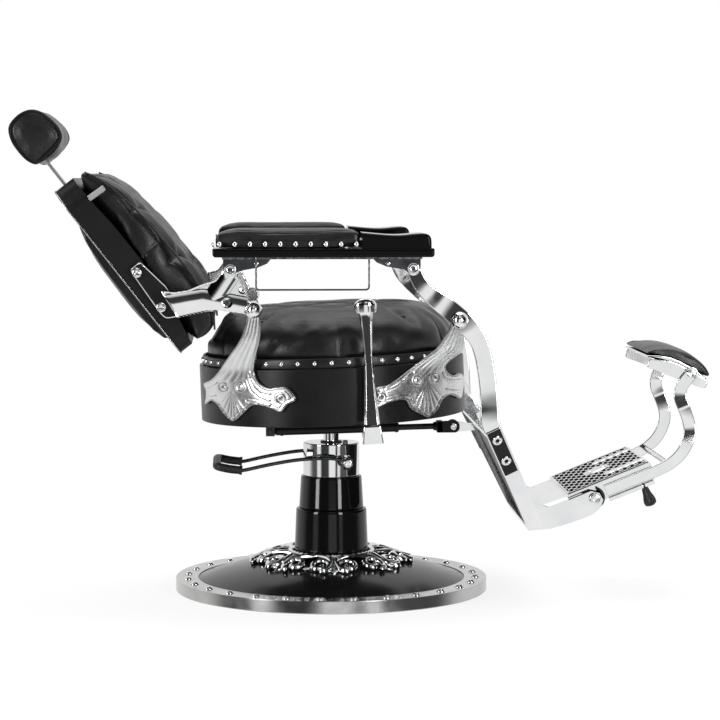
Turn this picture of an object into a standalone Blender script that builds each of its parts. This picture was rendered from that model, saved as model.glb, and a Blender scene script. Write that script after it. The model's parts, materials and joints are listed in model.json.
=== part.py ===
"""Hydraulic barber chair: pump base, swivel seat, reclining back, linked armrests and leg frame.

Units are metres.  +Z is up, +X is the chair's front, -Y is the chair's right side.
The origin is on the floor at the centre of the round base.
Every named object is one solid piece; the empties mark the joint axes.
"""
import math

import bmesh
import bpy
from mathutils import Matrix, Vector

# ------------------------------------------------------------------ driving dimensions
GAP = 0.0003                     # clearance between pieces that touch
MERGE = 0.00005                  # merge distance for welds and turned shapes

RIGHT = -1.0                     # sign of Y on the chair's right side
LEFT = 1.0

# base
BASE_RADIUS = 0.325
RING_INNER = 0.278
RING_TOP = 0.026
RIVET_CIRCLE = 0.301
RIVET_RADIUS = 0.008
RIVET_COUNT = 28
DISH_PROFILE = [(0.052, 0.0670), (0.100, 0.0645), (0.165, 0.0550), (0.228, 0.0400),
                (RING_INNER - 0.0005, 0.0240)]
DISH_THICKNESS = 0.003
DISC_STEPS = 40

# column
PLATE_TOP = 0.014
COVER_FOOT = 0.067
COVER_SPLIT = 0.170
HEAD_BOTTOM = 0.238
HEAD_TOP = 0.307
HEAD_RADIUS = 0.0585
COLUMN_STEPS = 24
PISTON_RADIUS = 0.0165
PISTON_TOP = 0.3325
SWIVEL_TOP = 0.3505
STUB_RADIUS = 0.014
STUB_TOP = 0.362

# pump lever
PUMP_PIVOT = (0.031, 0.271)
PUMP_SHAFT_RADIUS = 0.0055
PUMP_ROD_RADIUS = 0.004
PUMP_GRIP_RADIUS = 0.0085
PUMP_HALF_WIDTH = 0.080
PUMP_SIDE_PATH = [(0.020, 0.275), (-0.006, 0.281), (-0.066, 0.279), (-0.127, 0.2695), (-0.181, 0.258)]
PUMP_GRIP_PATH = [(-0.186, 0.2575), (-0.212, 0.2605), (-0.229, 0.264)]
PUMP_END = (-0.2385, 0.266)

# seat, raked slightly about the drum's centre
SEAT_RAKE = math.radians(-2.2)
DRUM_CENTRE = (0.005, 0.3665)
DRUM_RADIUS = 0.2745
DRUM_HEIGHT = 0.115
DRUM_WALL = 0.0125
BOARD_THICKNESS = 0.015
BAND_HEIGHT = 0.020
BAND_RADIUS = 0.268
NAIL_RADIUS = 0.0045
NAIL_COUNT = 49
CUSHION_TOP = 0.112
CUSHION_REAR_CUT = [(-0.40, 0.70), (-0.40, 0.5005), (-0.268, 0.5005), (-0.243, 0.515), (-0.2215, 0.556),
                    (-0.2215, 0.70)]
MOUNT_THICKNESS = 0.008

# pivots of the linkage, as (x, z)
REAR_PIVOT = (-0.163, 0.600)
FRONT_PIVOT = (0.240, 0.579)
ARM_REAR_PIVOT = (-0.208, 0.678)
ARM_FRONT_PIVOT = (0.150, 0.680)
PIVOT_BOLT_RADIUS = 0.008
PIVOT_BALL_RADIUS = 0.017
ARM_PIN_RADIUS = 0.0058
LINK_INNER = 0.2925              # castings and leg bars lie between these distances from the middle
LINK_OUTER = 0.3025
BRACKET_THICKNESS = 0.008

# leaf brackets, outlines seen from the side as (x, z)
REAR_LEAF = [(-0.176, 0.490), (-0.203, 0.500), (-0.228, 0.474), (-0.246, 0.459), (-0.264, 0.456),
             (-0.265, 0.434), (-0.261, 0.412), (-0.241, 0.419), (-0.229, 0.402), (-0.203, 0.376),
             (-0.177, 0.398), (-0.162, 0.410), (-0.141, 0.408), (-0.118, 0.396), (-0.099, 0.411),
             (-0.078, 0.420), (-0.093, 0.442), (-0.111, 0.447), (-0.130, 0.442), (-0.150, 0.448),
             (-0.160, 0.462), (-0.160, 0.486)]
FRONT_LEAF = [(0.196, 0.492), (0.174, 0.503), (0.146, 0.480), (0.118, 0.460), (0.095, 0.450), (0.076, 0.449),
              (0.079, 0.404), (0.106, 0.416), (0.134, 0.418), (0.150, 0.402), (0.178, 0.384),
              (0.196, 0.403), (0.217, 0.429), (0.243, 0.423), (0.250, 0.440), (0.249, 0.466), (0.226, 0.470)]

# backrest: its own frame has local Z up the back and local X out of its front
BACK_ORIGIN = (-0.353, 0.574)
BACK_RAKE = math.radians(-37.9)
BACK_HALF_WIDTH = 0.250
BACK_BOTTOM = -0.078
BACK_TOP = 0.325
FRAME_SECTION = [(0.0, BACK_BOTTOM), (0.0, BACK_TOP), (0.043, BACK_TOP), (0.046, 0.255), (0.050, 0.200),
                 (0.051, 0.115), (0.046, 0.040), (0.038, -0.020), (0.026, BACK_BOTTOM)]
CUSHION_SECTION = [(0.0272, -0.086), (0.0395, -0.020), (0.0475, 0.040), (0.0525, 0.115), (0.0515, 0.200),
                   (0.0475, 0.255), (0.0445, 0.328), (0.068, 0.326), (0.086, 0.296), (0.103, 0.250),
                   (0.115, 0.180), (0.119, 0.100), (0.119, 0.020), (0.112, -0.045), (0.090, -0.078),
                   (0.056, -0.091)]
PANEL_SECTION = [(-GAP, -0.046), (-0.016, -0.044), (-0.0235, -0.010), (-0.0245, 0.060), (-0.0225, 0.150),
                 (-0.0180, 0.210), (-0.0100, 0.245), (-GAP, 0.262)]
TRIM_THICKNESS = 0.003
TRIM_WIDTH = 0.012
STRAP_OUTLINE = [(-0.385, 0.694), (-0.406, 0.677), (-0.395, 0.660), (-0.347, 0.591), (-0.335, 0.580),
                 (-0.300, 0.586), (-0.333, 0.644)]
STRAP_OUTER = 0.2622
STRAP_BOLTS = [(-0.391, 0.671), (-0.344, 0.603)]
CASTING_OUTLINE = [(-0.344, 0.637), (-0.318, 0.634), (-0.291, 0.638), (-0.262, 0.650), (-0.237, 0.657),
                   (-0.220, 0.680), (-0.214, 0.689), (-0.203, 0.689), (-0.196, 0.680), (-0.184, 0.652),
                   (-0.168, 0.616), (-0.151, 0.606), (-0.151, 0.594), (-0.161, 0.587), (-0.183, 0.592),
                   (-0.228, 0.598), (-0.254, 0.596), (-0.283, 0.590), (-0.311, 0.584)]
CASTING_FOOT = [(-0.342, 0.635), (-0.310, 0.586), (-0.286, 0.592), (-0.300, 0.633)]

# headrest, in the backrest's frame
POST_DEPTH = 0.011               # distance of the post's middle from the rear face
POST_WIDTH = 0.030
POST_THICKNESS = 0.006
POST_BOTTOM = 0.190
POST_TOP = 0.425
POCKET_BOTTOM = 0.138
HEADREST_HALF_WIDTH = 0.112
HEADREST_SECTION = [(-0.006, 0.3955), (0.052, 0.3945), (0.074, 0.405), (0.081, 0.425), (0.077, 0.450),
                    (0.068, 0.476), (0.057, 0.490), (0.026, 0.492), (-0.006, 0.484), (-0.0135, 0.459),
                    (-0.014, 0.431)]
KNOB_HEIGHT = 0.285
KNOB_SHAFT_RADIUS = 0.004

# armrests
ARM_MIDDLE = 0.315
ARM_HALF_WIDTH = 0.055
PLINTH_OUTLINE = [(-0.238, 0.704), (-0.242, 0.709), (-0.242, 0.7215), (0.0465, 0.7215), (0.0465, 0.751),
                  (0.080, 0.7485), (0.120, 0.7465), (0.150, 0.7495), (0.168, 0.7500), (0.180, 0.7430),
                  (0.187, 0.7300), (0.187, 0.7080), (0.183, 0.704)]
PAD_OUTLINE = [(-0.238, 0.7218), (-0.241, 0.738), (-0.232, 0.752), (-0.212, 0.758), (0.040, 0.758),
               (0.0462, 0.752), (0.0462, 0.7256), (0.0426, 0.7218)]
PAD_HALF_WIDTH = 0.0495
NAIL_STRIP = 0.0027
ARM_NAILS = 10
NAILS_START, NAILS_END, NAILS_HEIGHT = -0.228, 0.036, 0.7290
RAIL_RADIUS = 0.0018
RAIL_OFFSET = 0.356
RAIL_ENDS = (-0.158, 0.0605)
RAIL_BOTTOM = 0.641
REAR_LUG = [(-0.222, 0.7000), (-0.222, 0.680), (-0.216, 0.669), (-0.203, 0.667), (-0.190, 0.676),
            (-0.155, 0.682), (-0.136, 0.690), (-0.128, 0.7000)]
FRONT_LUG = [(0.164, 0.7000), (0.164, 0.682), (0.158, 0.671), (0.145, 0.669), (0.132, 0.678),
             (0.097, 0.684), (0.078, 0.692), (0.070, 0.7000)]
LUG_INNER = 0.3028
LUG_THICKNESS = 0.007
STRIP_HEIGHT = 0.0045

# leg frame
LEG_PATH = [(0.150, 0.680), (0.165, 0.648), (0.184, 0.628), (0.204, 0.612), (0.225, 0.596), (0.243, 0.580),
            (0.264, 0.558), (0.278, 0.538), (0.288, 0.511), (0.294, 0.480), (0.299, 0.441), (0.301, 0.404),
            (0.303, 0.373), (0.316, 0.346)]
LEG_WIDTH_TOP = 0.026
LEG_WIDTH_BOTTOM = 0.038
SHIN_ORIGIN = (0.303, 0.373)     # lower leg frame: local Z runs up the shin, local X out of its front
SHIN_RAKE = math.radians(-25.3)
SHIN_HALF_DEPTH = 0.016
SHIN_HALF_TOP = 0.2922
SHIN_HALF_BOTTOM = 0.176
SHIN_LENGTH = 0.249
SHIN_WALL = 0.011
HINGE_PIVOT = (0.530, 0.206)
HINGE_INNER = 0.1545
HINGE_OUTER = 0.1655
HINGE_ARM = [(0.397, 0.141), (0.439, 0.144), (0.478, 0.155), (0.525, 0.172), (0.543, 0.187), (0.548, 0.203),
             (0.540, 0.217), (0.522, 0.221), (0.478, 0.203), (0.438, 0.188), (0.402, 0.200), (0.4105, 0.1640)]
HINGE_PIN_RADIUS = 0.006

# lock strut under the seat
STRUT_REAR = (-0.1285, 0.3420)
STRUT_FRONT = (0.2440, 0.3520)
STRUT_OFFSET = 0.120
STRUT_RADIUS = 0.009
STRUT_ROD_RADIUS = 0.0062
STRUT_PIN_RADIUS = 0.005
STRUT_EYE_PLAY = 0.0030          # the opened pivot of the linkage runs loose by this much

# recline lever
LEVER_PIVOT = (0.0705, 0.350)
LEVER_OFFSET = 0.300
LEVER_LEAN = math.radians(-3.2)

# footrest: its own frame has local X along the tread and local Z out of its top
TREAD_SLOPE = math.radians(-21.6)
TREAD_HALF_WIDTH = 0.146
TREAD_TOP = 0.0237
TREAD_THICKNESS = 0.010
TREAD_REAR = -0.048
TREAD_FRONT = 0.134
WALL_THICKNESS = 0.0095
WALL_BOTTOM = -0.0135
LEDGE_BOTTOM, LEDGE_TOP = -0.0200, -0.0125
ARM_BAR_INNER = 0.1475
ARM_BAR_OUTER = 0.1535
CALF_BAR_WIDTH = 0.026
CALF_PATH = [(0.5555, 0.2195), (0.664, 0.2624), (0.686, 0.274), (0.706, 0.291), (0.720, 0.313),
             (0.727, 0.337), (0.7245, 0.360), (0.7155, 0.386), (0.707, 0.408), (0.7075, 0.426),
             (0.7150, 0.441), (0.729, 0.459)]
CALF_ROD = (0.6845, 0.2735)
CALF_ROD_RADIUS = 0.006
PAD_PIVOT = (0.729, 0.459)
CALF_HALF_WIDTH = 0.1465
CALF_PAD_TOP = [(0.7715, 0.4510), (0.7640, 0.4710), (0.7470, 0.4870), (0.7260, 0.4985), (0.7040, 0.5075),
                (0.6820, 0.5130), (0.6620, 0.5140), (0.6480, 0.5095), (0.6405, 0.5020)]
CALF_PAD_BOTTOM = [(0.6415, 0.4975), (0.6660, 0.4965), (0.6860, 0.4935), (0.7060, 0.4855), (0.7380, 0.4685),
                   (0.7620, 0.4480)]
SHELL_BOTTOM = [(0.7560, 0.4430), (0.7330, 0.4610), (0.7030, 0.4770), (0.6650, 0.4880), (0.6430, 0.4890)]
SHELL_LUG = [(0.7650, 0.4430), (0.7590, 0.4270), (0.7400, 0.4330), (0.7060, 0.4460), (0.6730, 0.4590),
             (0.6380, 0.4720), (0.6430, 0.4900), (0.6850, 0.4850), (0.7050, 0.4780), (0.7350, 0.4620)]
KNOB_PLACE = 0.105


# ------------------------------------------------------------------ scene and materials
def clear_scene():
    for obj in list(bpy.data.objects):
        bpy.data.objects.remove(obj, do_unlink=True)


def new_collection(name):
    collection = bpy.data.collections.new(name)
    bpy.context.scene.collection.children.link(collection)
    return collection


clear_scene()
CHAIR = new_collection("barber_chair")
CUTTERS = new_collection("cutters")


def make_material(name, colour, roughness, metallic):
    material = bpy.data.materials.new(name)
    material.use_nodes = True
    shader = material.node_tree.nodes["Principled BSDF"]
    shader.inputs["Base Color"].default_value = (*colour, 1.0)
    shader.inputs["Roughness"].default_value = roughness
    shader.inputs["Metallic"].default_value = metallic
    return material


FINISHES = {
    "steel": ((0.62, 0.61, 0.59), 0.30, 1.0),
    "chrome": ((0.80, 0.80, 0.80), 0.08, 1.0),
    "satin_black": ((0.020, 0.020, 0.020), 0.45, 0.0),
    "gloss_black": ((0.012, 0.012, 0.012), 0.12, 0.0),
    "dark_steel": ((0.06, 0.06, 0.06), 0.35, 0.8),
    "leather": ((0.018, 0.018, 0.018), 0.50, 0.0),
    "rubber": ((0.025, 0.025, 0.025), 0.75, 0.0),
    "wood": ((0.45, 0.32, 0.20), 0.70, 0.0),
    "cast_iron": ((0.10, 0.10, 0.10), 0.65, 0.6),
}


def paint(obj, finish):
    """Give an object its own material."""
    colour, roughness, metallic = FINISHES[finish]
    obj.data.materials.clear()
    obj.data.materials.append(make_material(obj.name + "_" + finish, colour, roughness, metallic))


def new_empty(name, x, z, y=0.0, parent=None):
    """An empty that marks a joint's axis."""
    empty = bpy.data.objects.new(name, None)
    empty.empty_display_size = 0.05
    CHAIR.objects.link(empty)
    empty.location = (x, y, z)
    if parent is not None:
        hang(empty, parent)
    return empty


def hang(obj, parent):
    """Parent an object and keep its place."""
    bpy.context.view_layer.update()
    obj.parent = parent
    obj.matrix_parent_inverse = parent.matrix_world.inverted()


def finish(obj, material, parent):
    """Paint, shade and parent a finished piece."""
    paint(obj, material)
    obj.data.shade_smooth()
    obj.data.set_sharp_from_angle(angle=math.radians(35))
    hang(obj, parent)
    return obj


# ------------------------------------------------------------------ shape helpers
ALONG_Y = Matrix(((1, 0, 0, 0), (0, 0, -1, 0), (0, 1, 0, 0), (0, 0, 0, 1)))   # local Z to -Y, local Y to +Z


def from_bmesh(name, bm, matrix=None):
    mesh = bpy.data.meshes.new(name)
    bm.to_mesh(mesh)
    bm.free()
    obj = bpy.data.objects.new(name, mesh)
    CHAIR.objects.link(obj)
    if matrix is not None:
        obj.matrix_world = matrix
    return obj


def box(name, low, high, matrix=None, bevel=0.0):
    """A box between two corners."""
    bm = bmesh.new()
    bmesh.ops.create_cube(bm, size=1.0)
    size = Vector(high) - Vector(low)
    centre = (Vector(high) + Vector(low)) / 2
    bmesh.ops.transform(bm, matrix=Matrix.Translation(centre) @ Matrix.Diagonal((*size, 1.0)), verts=bm.verts)
    obj = from_bmesh(name, bm, matrix)
    if bevel > 0:
        modifier = obj.modifiers.new("bevel", "BEVEL")
        modifier.width = bevel
        modifier.segments = 2
    return obj


def leaning_bar(name, bottom, top, bottom_size, top_size):
    """A bar whose lower and upper ends are level rectangles at two places."""
    bm = bmesh.new()
    bmesh.ops.create_cube(bm, size=1.0)
    for vert in bm.verts:
        place, size = (top, top_size) if vert.co.z > 0 else (bottom, bottom_size)
        vert.co = Vector(place) + Vector((vert.co.x * size[0], vert.co.y * size[1], 0.0))
    return from_bmesh(name, bm)


def drum_along_y(name, x, z, radius, y_low, y_high, segments=14):
    """A cylinder whose axis runs along Y."""
    bm = bmesh.new()
    bmesh.ops.create_cone(bm, cap_ends=True, segments=segments, radius1=radius, radius2=radius,
                          depth=abs(y_high - y_low))
    return from_bmesh(name, bm, Matrix.Translation((x, (y_low + y_high) / 2, z)) @ ALONG_Y)


def turned(name, profile, steps, matrix=None, closed=False):
    """A profile of (radius, height), down its outer side, turned about Z."""
    mesh = bpy.data.meshes.new(name)
    points = [(radius, 0.0, height) for radius, height in profile]
    edges = [(i, i + 1) for i in range(len(points) - 1)]
    if closed:
        edges.append((len(points) - 1, 0))
    mesh.from_pydata(points, edges, [])
    obj = bpy.data.objects.new(name, mesh)
    CHAIR.objects.link(obj)
    if matrix is not None:
        obj.matrix_world = matrix
    screw = obj.modifiers.new("screw", "SCREW")
    screw.steps = steps
    screw.render_steps = steps
    screw.use_merge_vertices = True
    screw.merge_threshold = MERGE
    screw.use_smooth_shade = True
    return obj


def as_mesh(curve_object):
    """Turn a curve object into a welded mesh object in the same place."""
    bpy.context.view_layer.update()
    evaluated = curve_object.evaluated_get(bpy.context.evaluated_depsgraph_get())
    mesh = bpy.data.meshes.new_from_object(evaluated)
    bm = bmesh.new()
    bm.from_mesh(mesh)
    bmesh.ops.remove_doubles(bm, verts=bm.verts, dist=MERGE)
    bmesh.ops.recalc_face_normals(bm, faces=bm.faces)
    bm.to_mesh(mesh)
    bm.free()
    name = curve_object.name
    matrix = curve_object.matrix_world.copy()
    curve = curve_object.data
    bpy.data.objects.remove(curve_object, do_unlink=True)
    bpy.data.curves.remove(curve)
    obj = bpy.data.objects.new(name, mesh)
    obj.matrix_world = matrix
    CHAIR.objects.link(obj)
    return obj


def flat_outline(name, outline, thickness, matrix, smooth=False):
    """A filled outline in the local XY plane, thick along local Z, made a mesh."""
    curve = bpy.data.curves.new(name, "CURVE")
    curve.dimensions = "2D"
    curve.fill_mode = "BOTH"
    curve.extrude = thickness / 2
    curve.resolution_u = 3
    if smooth:
        spline = curve.splines.new("BEZIER")
        spline.bezier_points.add(len(outline) - 1)
        for knot, (x, y) in zip(spline.bezier_points, outline):
            knot.co = (x, y, 0.0)
            knot.handle_left_type = "AUTO"
            knot.handle_right_type = "AUTO"
    else:
        spline = curve.splines.new("POLY")
        spline.points.add(len(outline) - 1)
        for point, (x, y) in zip(spline.points, outline):
            point.co = (x, y, 0.0, 1.0)
    spline.use_cyclic_u = True
    obj = bpy.data.objects.new(name, curve)
    CHAIR.objects.link(obj)
    obj.matrix_world = matrix
    return as_mesh(obj)


def side_plate(name, outline, y_low, y_high, frame=None, smooth=False):
    """An outline of (x, z) that is thick along Y."""
    frame = frame or Matrix.Identity(4)
    place = Matrix.Translation((0.0, (y_low + y_high) / 2, 0.0)) @ ALONG_Y
    return flat_outline(name, outline, abs(y_high - y_low), frame @ place, smooth)


def face_plate(name, outline, x_low, x_high, frame=None):
    """An outline of (y, z) that is thick along X."""
    frame = frame or Matrix.Identity(4)
    turn = Matrix(((0, 0, 1, (x_low + x_high) / 2), (1, 0, 0, 0), (0, 1, 0, 0), (0, 0, 0, 1)))
    return flat_outline(name, outline, abs(x_high - x_low), frame @ turn)


def tube(name, points, radius, cyclic=False):
    """A round bar through a row of points."""
    curve = bpy.data.curves.new(name, "CURVE")
    curve.dimensions = "3D"
    curve.bevel_depth = radius
    curve.bevel_resolution = 2
    curve.use_fill_caps = not cyclic
    spline = curve.splines.new("POLY")
    spline.points.add(len(points) - 1)
    for point, place in zip(spline.points, points):
        point.co = (*place, 1.0)
    spline.use_cyclic_u = cyclic
    obj = bpy.data.objects.new(name, curve)
    CHAIR.objects.link(obj)
    return as_mesh(obj)


def studs(name, places, radius, flatten, segments=5, rings=3):
    """Small domes as one object, each at a place and pressed flat along its own direction."""
    bm = bmesh.new()
    for place, direction in places:
        turn = Vector(direction).to_track_quat("Z", "Y").to_matrix().to_4x4()
        matrix = Matrix.Translation(place) @ turn @ Matrix.Diagonal((1.0, 1.0, flatten, 1.0))
        bmesh.ops.create_uvsphere(bm, u_segments=segments, v_segments=rings, radius=radius, matrix=matrix)
    return from_bmesh(name, bm)


def combine(piece, tool, operation):
    """Join a tool to a piece, or cut the piece with it; the tool goes to the cutters."""
    if tool.name not in CUTTERS.objects:
        CHAIR.objects.unlink(tool)
        CUTTERS.objects.link(tool)
    tool.hide_render = True
    tool.display_type = "WIRE"
    modifier = piece.modifiers.new(tool.name, "BOOLEAN")
    modifier.operation = operation
    modifier.object = tool
    return piece


def join(piece, *tools):
    for tool in tools:
        combine(piece, tool, "UNION")
    return piece


def cut(piece, *tools):
    for tool in tools:
        combine(piece, tool, "DIFFERENCE")
    return piece


def side_name(side):
    return "right" if side < 0 else "left"


def rotated_frame(x, z, angle):
    """A frame at (x, z) turned about Y."""
    return Matrix.Translation((x, 0.0, z)) @ Matrix.Rotation(angle, 4, "Y")


def widened(path, width_start, width_end):
    """The outline of a flat bar that follows a path of (x, z) with changing width."""
    upper = []
    lower = []
    last = len(path) - 1
    for i, point in enumerate(path):
        before = Vector(path[max(i - 1, 0)])
        after = Vector(path[min(i + 1, last)])
        along = (after - before).normalized()
        across = Vector((-along.y, along.x)) * (width_start + (width_end - width_start) * i / last) / 2
        upper.append(tuple(Vector(point) + across))
        lower.append(tuple(Vector(point) - across))
    return upper + lower[::-1]


def rounded_outline(half_width, bottom, top, radius_bottom, radius_top, steps=4):
    """A rectangle of (across, up) with round corners, counter-clockwise from the lower right."""
    corners = [(half_width, bottom, radius_bottom, -90), (half_width, top, radius_top, 0),
               (-half_width, top, radius_top, 90), (-half_width, bottom, radius_bottom, 180)]
    points = []
    for across, up, radius, start in corners:
        centre_x = across - math.copysign(radius, across)
        centre_y = up + radius if start in (-90, 180) else up - radius
        for i in range(steps + 1):
            angle = math.radians(start + 90 * i / steps)
            points.append((centre_x + radius * math.cos(angle), centre_y + radius * math.sin(angle)))
    return points


SEAT_FRAME = rotated_frame(DRUM_CENTRE[0], DRUM_CENTRE[1], SEAT_RAKE)
BACK_FRAME = rotated_frame(BACK_ORIGIN[0], BACK_ORIGIN[1], BACK_RAKE)
SHIN_FRAME = rotated_frame(SHIN_ORIGIN[0], SHIN_ORIGIN[1], SHIN_RAKE)
TREAD_FRAME = rotated_frame(HINGE_PIVOT[0], HINGE_PIVOT[1], TREAD_SLOPE)


# ------------------------------------------------------------------ joint empties
BASE = new_empty("axis_base", 0.0, 0.0)
PUMP = new_empty("axis_pump_lever", *PUMP_PIVOT, parent=BASE)
LIFT = new_empty("axis_lift", 0.0, PISTON_TOP, parent=BASE)
SEAT = new_empty("axis_swivel", 0.0, SWIVEL_TOP, parent=LIFT)
BACK = new_empty("axis_recline", *REAR_PIVOT, parent=SEAT)
LEGS = new_empty("axis_leg_frame", *FRONT_PIVOT, parent=SEAT)
ARMS = {side: new_empty("axis_armrest_" + side_name(side), *ARM_REAR_PIVOT, y=side * ARM_MIDDLE, parent=BACK)
        for side in (RIGHT, LEFT)}
STRUT = new_empty("axis_strut", *STRUT_REAR, y=-STRUT_OFFSET, parent=SEAT)
STRUT_SLIDE = new_empty("axis_strut_rod", *STRUT_FRONT, y=-STRUT_OFFSET, parent=STRUT)
LEVER = new_empty("axis_recline_lever", *LEVER_PIVOT, y=-LEVER_OFFSET, parent=SEAT)
HEAD = new_empty("axis_headrest", *(BACK_FRAME @ Vector((POST_DEPTH, 0.0, BACK_TOP))).xz, parent=BACK)
HEAD_KNOB = new_empty("axis_headrest_knob", *(BACK_FRAME @ Vector((0.0, 0.0, KNOB_HEIGHT))).xz, parent=BACK)
FOOT = new_empty("axis_footrest", *HINGE_PIVOT, parent=LEGS)
CALF = new_empty("axis_calf_slide", *CALF_PATH[0], parent=FOOT)
CALF_PAD = new_empty("axis_calf_pad", *PAD_PIVOT, parent=CALF)


# ------------------------------------------------------------------ base
def dish_height(radius):
    """Height of the dish's upper face at a radius."""
    for (r0, z0), (r1, z1) in zip(DISH_PROFILE, DISH_PROFILE[1:]):
        if r0 <= radius <= r1:
            return z0 + (z1 - z0) * (radius - r0) / (r1 - r0)
    raise ValueError("radius is off the dish")


def make_base_plate():
    radius = RING_INNER - 0.0015
    profile = [(0.0, PLATE_TOP), (0.060, PLATE_TOP), (0.080, 0.011), (radius, 0.009), (radius, 0.0),
               (0.0, 0.0)]
    finish(turned("base_plate", profile, DISC_STEPS), "cast_iron", BASE)


def make_base_ring():
    profile = [(0.3165, RING_TOP), (0.3225, 0.0240), (BASE_RADIUS, 0.0185), (BASE_RADIUS, 0.004),
               (0.3225, 0.0), (RING_INNER, 0.0), (RING_INNER, RING_TOP)]
    ring = turned("base_ring", profile, DISC_STEPS, closed=True)
    places = []
    for i in range(RIVET_COUNT):
        angle = 2 * math.pi * (i + 0.5) / RIVET_COUNT
        places.append(((RIVET_CIRCLE * math.cos(angle), RIVET_CIRCLE * math.sin(angle), RING_TOP), (0, 0, 1)))
    join(ring, studs("base_rivets", places, RIVET_RADIUS, 0.5))
    finish(ring, "steel", BASE)


def make_base_dish():
    under = [(radius, height - DISH_THICKNESS) for radius, height in reversed(DISH_PROFILE)]
    finish(turned("base_dish", DISH_PROFILE + under, DISC_STEPS, closed=True), "satin_black", BASE)


def make_base_ornament():
    radii = [0.0820, 0.105, 0.145, 0.1685]
    rise = [0.0080, 0.0105, 0.0090, 0.0035]
    upper = [(radius, dish_height(radius) + lift) for radius, lift in zip(radii, rise)]
    lower = [(radius, dish_height(radius) + 2 * GAP) for radius in reversed(radii)]
    wreath = turned("base_ornament", upper + lower, DISC_STEPS, closed=True)
    bm = bmesh.new()
    scallops = 16
    circle, cutter = 0.181, 0.021
    for i in range(scallops):
        angle = 2 * math.pi * (i + 0.5) / scallops
        place = Matrix.Translation((circle * math.cos(angle), circle * math.sin(angle), 0.06))
        bmesh.ops.create_cone(bm, cap_ends=True, segments=8, radius1=cutter, radius2=cutter, depth=0.06,
                              matrix=place)
    cut(wreath, from_bmesh("ornament_scallops", bm))
    finish(wreath, "chrome", BASE)


# ------------------------------------------------------------------ column
def make_pump_cylinder():
    bottom = PLATE_TOP + GAP
    top = HEAD_BOTTOM - 0.006
    bore = PISTON_RADIUS + 0.001
    profile = [(bore, top), (0.045, top), (0.045, bottom), (bore, bottom)]
    finish(turned("pump_cylinder", profile, COLUMN_STEPS, closed=True), "cast_iron", BASE)


def make_lower_cover():
    bottom = COVER_FOOT + GAP
    profile = [(0.050, COVER_SPLIT), (0.0712, COVER_SPLIT), (0.0727, COVER_SPLIT - 0.002), (0.0765, 0.083),
               (0.0757, 0.078), (0.0625, bottom), (0.0590, bottom), (0.0722, 0.0795), (0.0735, 0.0835),
               (0.0690, COVER_SPLIT - 0.004), (0.050, COVER_SPLIT - 0.004)]
    finish(turned("lower_cover", profile, COLUMN_STEPS, closed=True), "gloss_black", BASE)


def make_upper_cover():
    bottom = COVER_SPLIT + GAP
    top = HEAD_BOTTOM - GAP
    profile = [(0.049, top), (0.0618, top), (0.0630, top - 0.002), (0.0670, bottom + 0.002), (0.0665, bottom),
               (0.0635, bottom), (0.0600, top - 0.004), (0.049, top - 0.004)]
    finish(turned("upper_cover", profile, COLUMN_STEPS, closed=True), "gloss_black", BASE)


def make_sleeve_head():
    """Pump head with two slots for the lever shaft, a rear window and a vent screw."""
    bore = PISTON_RADIUS + 0.0006
    inner = HEAD_RADIUS - 0.004
    lid = HEAD_TOP - 0.007
    profile = [(bore, HEAD_TOP), (HEAD_RADIUS - 0.002, HEAD_TOP), (HEAD_RADIUS, HEAD_TOP - 0.002),
               (HEAD_RADIUS, HEAD_BOTTOM), (inner, HEAD_BOTTOM), (inner, lid), (bore, lid)]
    head = turned("sleeve_head", profile, COLUMN_STEPS, closed=True)
    x, z = PUMP_PIVOT
    slots = box("head_slots", (x - 0.0063, -0.07, z - 0.016), (x + 0.0063, 0.07, z + 0.012))
    window = box("head_window", (-0.0525, -0.07, z + 0.002), (-0.0375, 0.07, z + 0.019))
    screw = [(0.0, 0.006), (0.004, 0.006), (0.005, 0.004), (0.005, -0.003), (0.0, -0.003)]
    vent = turned("vent_screw", screw, 10, Matrix.Translation((0.028, -0.028, HEAD_TOP)))
    join(cut(head, slots, window), vent)
    finish(head, "chrome", BASE)


# ------------------------------------------------------------------ pump lever
def pump_path(points, end_radius=0.020):
    """Both sides of the U-shaped lever through its rounded far end."""
    near = [(x, -PUMP_HALF_WIDTH, z) for x, z in points]
    far = [(x, PUMP_HALF_WIDTH, z) for x, z in reversed(points)]
    end_x, end_z = PUMP_END
    start_x, start_z = points[-1]
    bend = []
    for side, order in ((-1, (1, 2, 3)), (1, (3, 2, 1))):
        for i in order:
            angle = math.radians(30 * i)
            share = math.sin(angle)
            across = PUMP_HALF_WIDTH - end_radius * (1 - math.cos(angle))
            out_x = start_x + (end_x - start_x) * share
            out_z = start_z + (end_z - start_z) * share
            bend.append((out_x, side * across, out_z))
    return near + bend + far


def make_pump_shaft():
    x, z = PUMP_PIVOT
    reach = PUMP_HALF_WIDTH + 0.0095
    finish(drum_along_y("pump_shaft", x, z, PUMP_SHAFT_RADIUS, -reach, reach, 16), "dark_steel", PUMP)


def make_pump_lever():
    x, z = PUMP_PIVOT
    whole_side = [(x - 0.004, z + 0.001)] + PUMP_SIDE_PATH + PUMP_GRIP_PATH
    lever = tube("pump_lever", pump_path(whole_side), PUMP_ROD_RADIUS)
    for side in (RIGHT, LEFT):
        name = "lever_hub_" + side_name(side)
        low, high = side * (PUMP_HALF_WIDTH - 0.0045), side * (PUMP_HALF_WIDTH + 0.0045)
        join(lever, drum_along_y(name, x, z, 0.011, low, high, 16))
    cut(lever, drum_along_y("lever_bore", x, z, PUMP_SHAFT_RADIUS + GAP, -0.1, 0.1, 16))
    finish(lever, "dark_steel", PUMP)


def make_pump_grip():
    grip = tube("pump_grip", pump_path(PUMP_GRIP_PATH), PUMP_GRIP_RADIUS)
    cut(grip, tube("grip_bore", pump_path(PUMP_SIDE_PATH[-1:] + PUMP_GRIP_PATH), PUMP_ROD_RADIUS + GAP))
    finish(grip, "rubber", PUMP)


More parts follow.
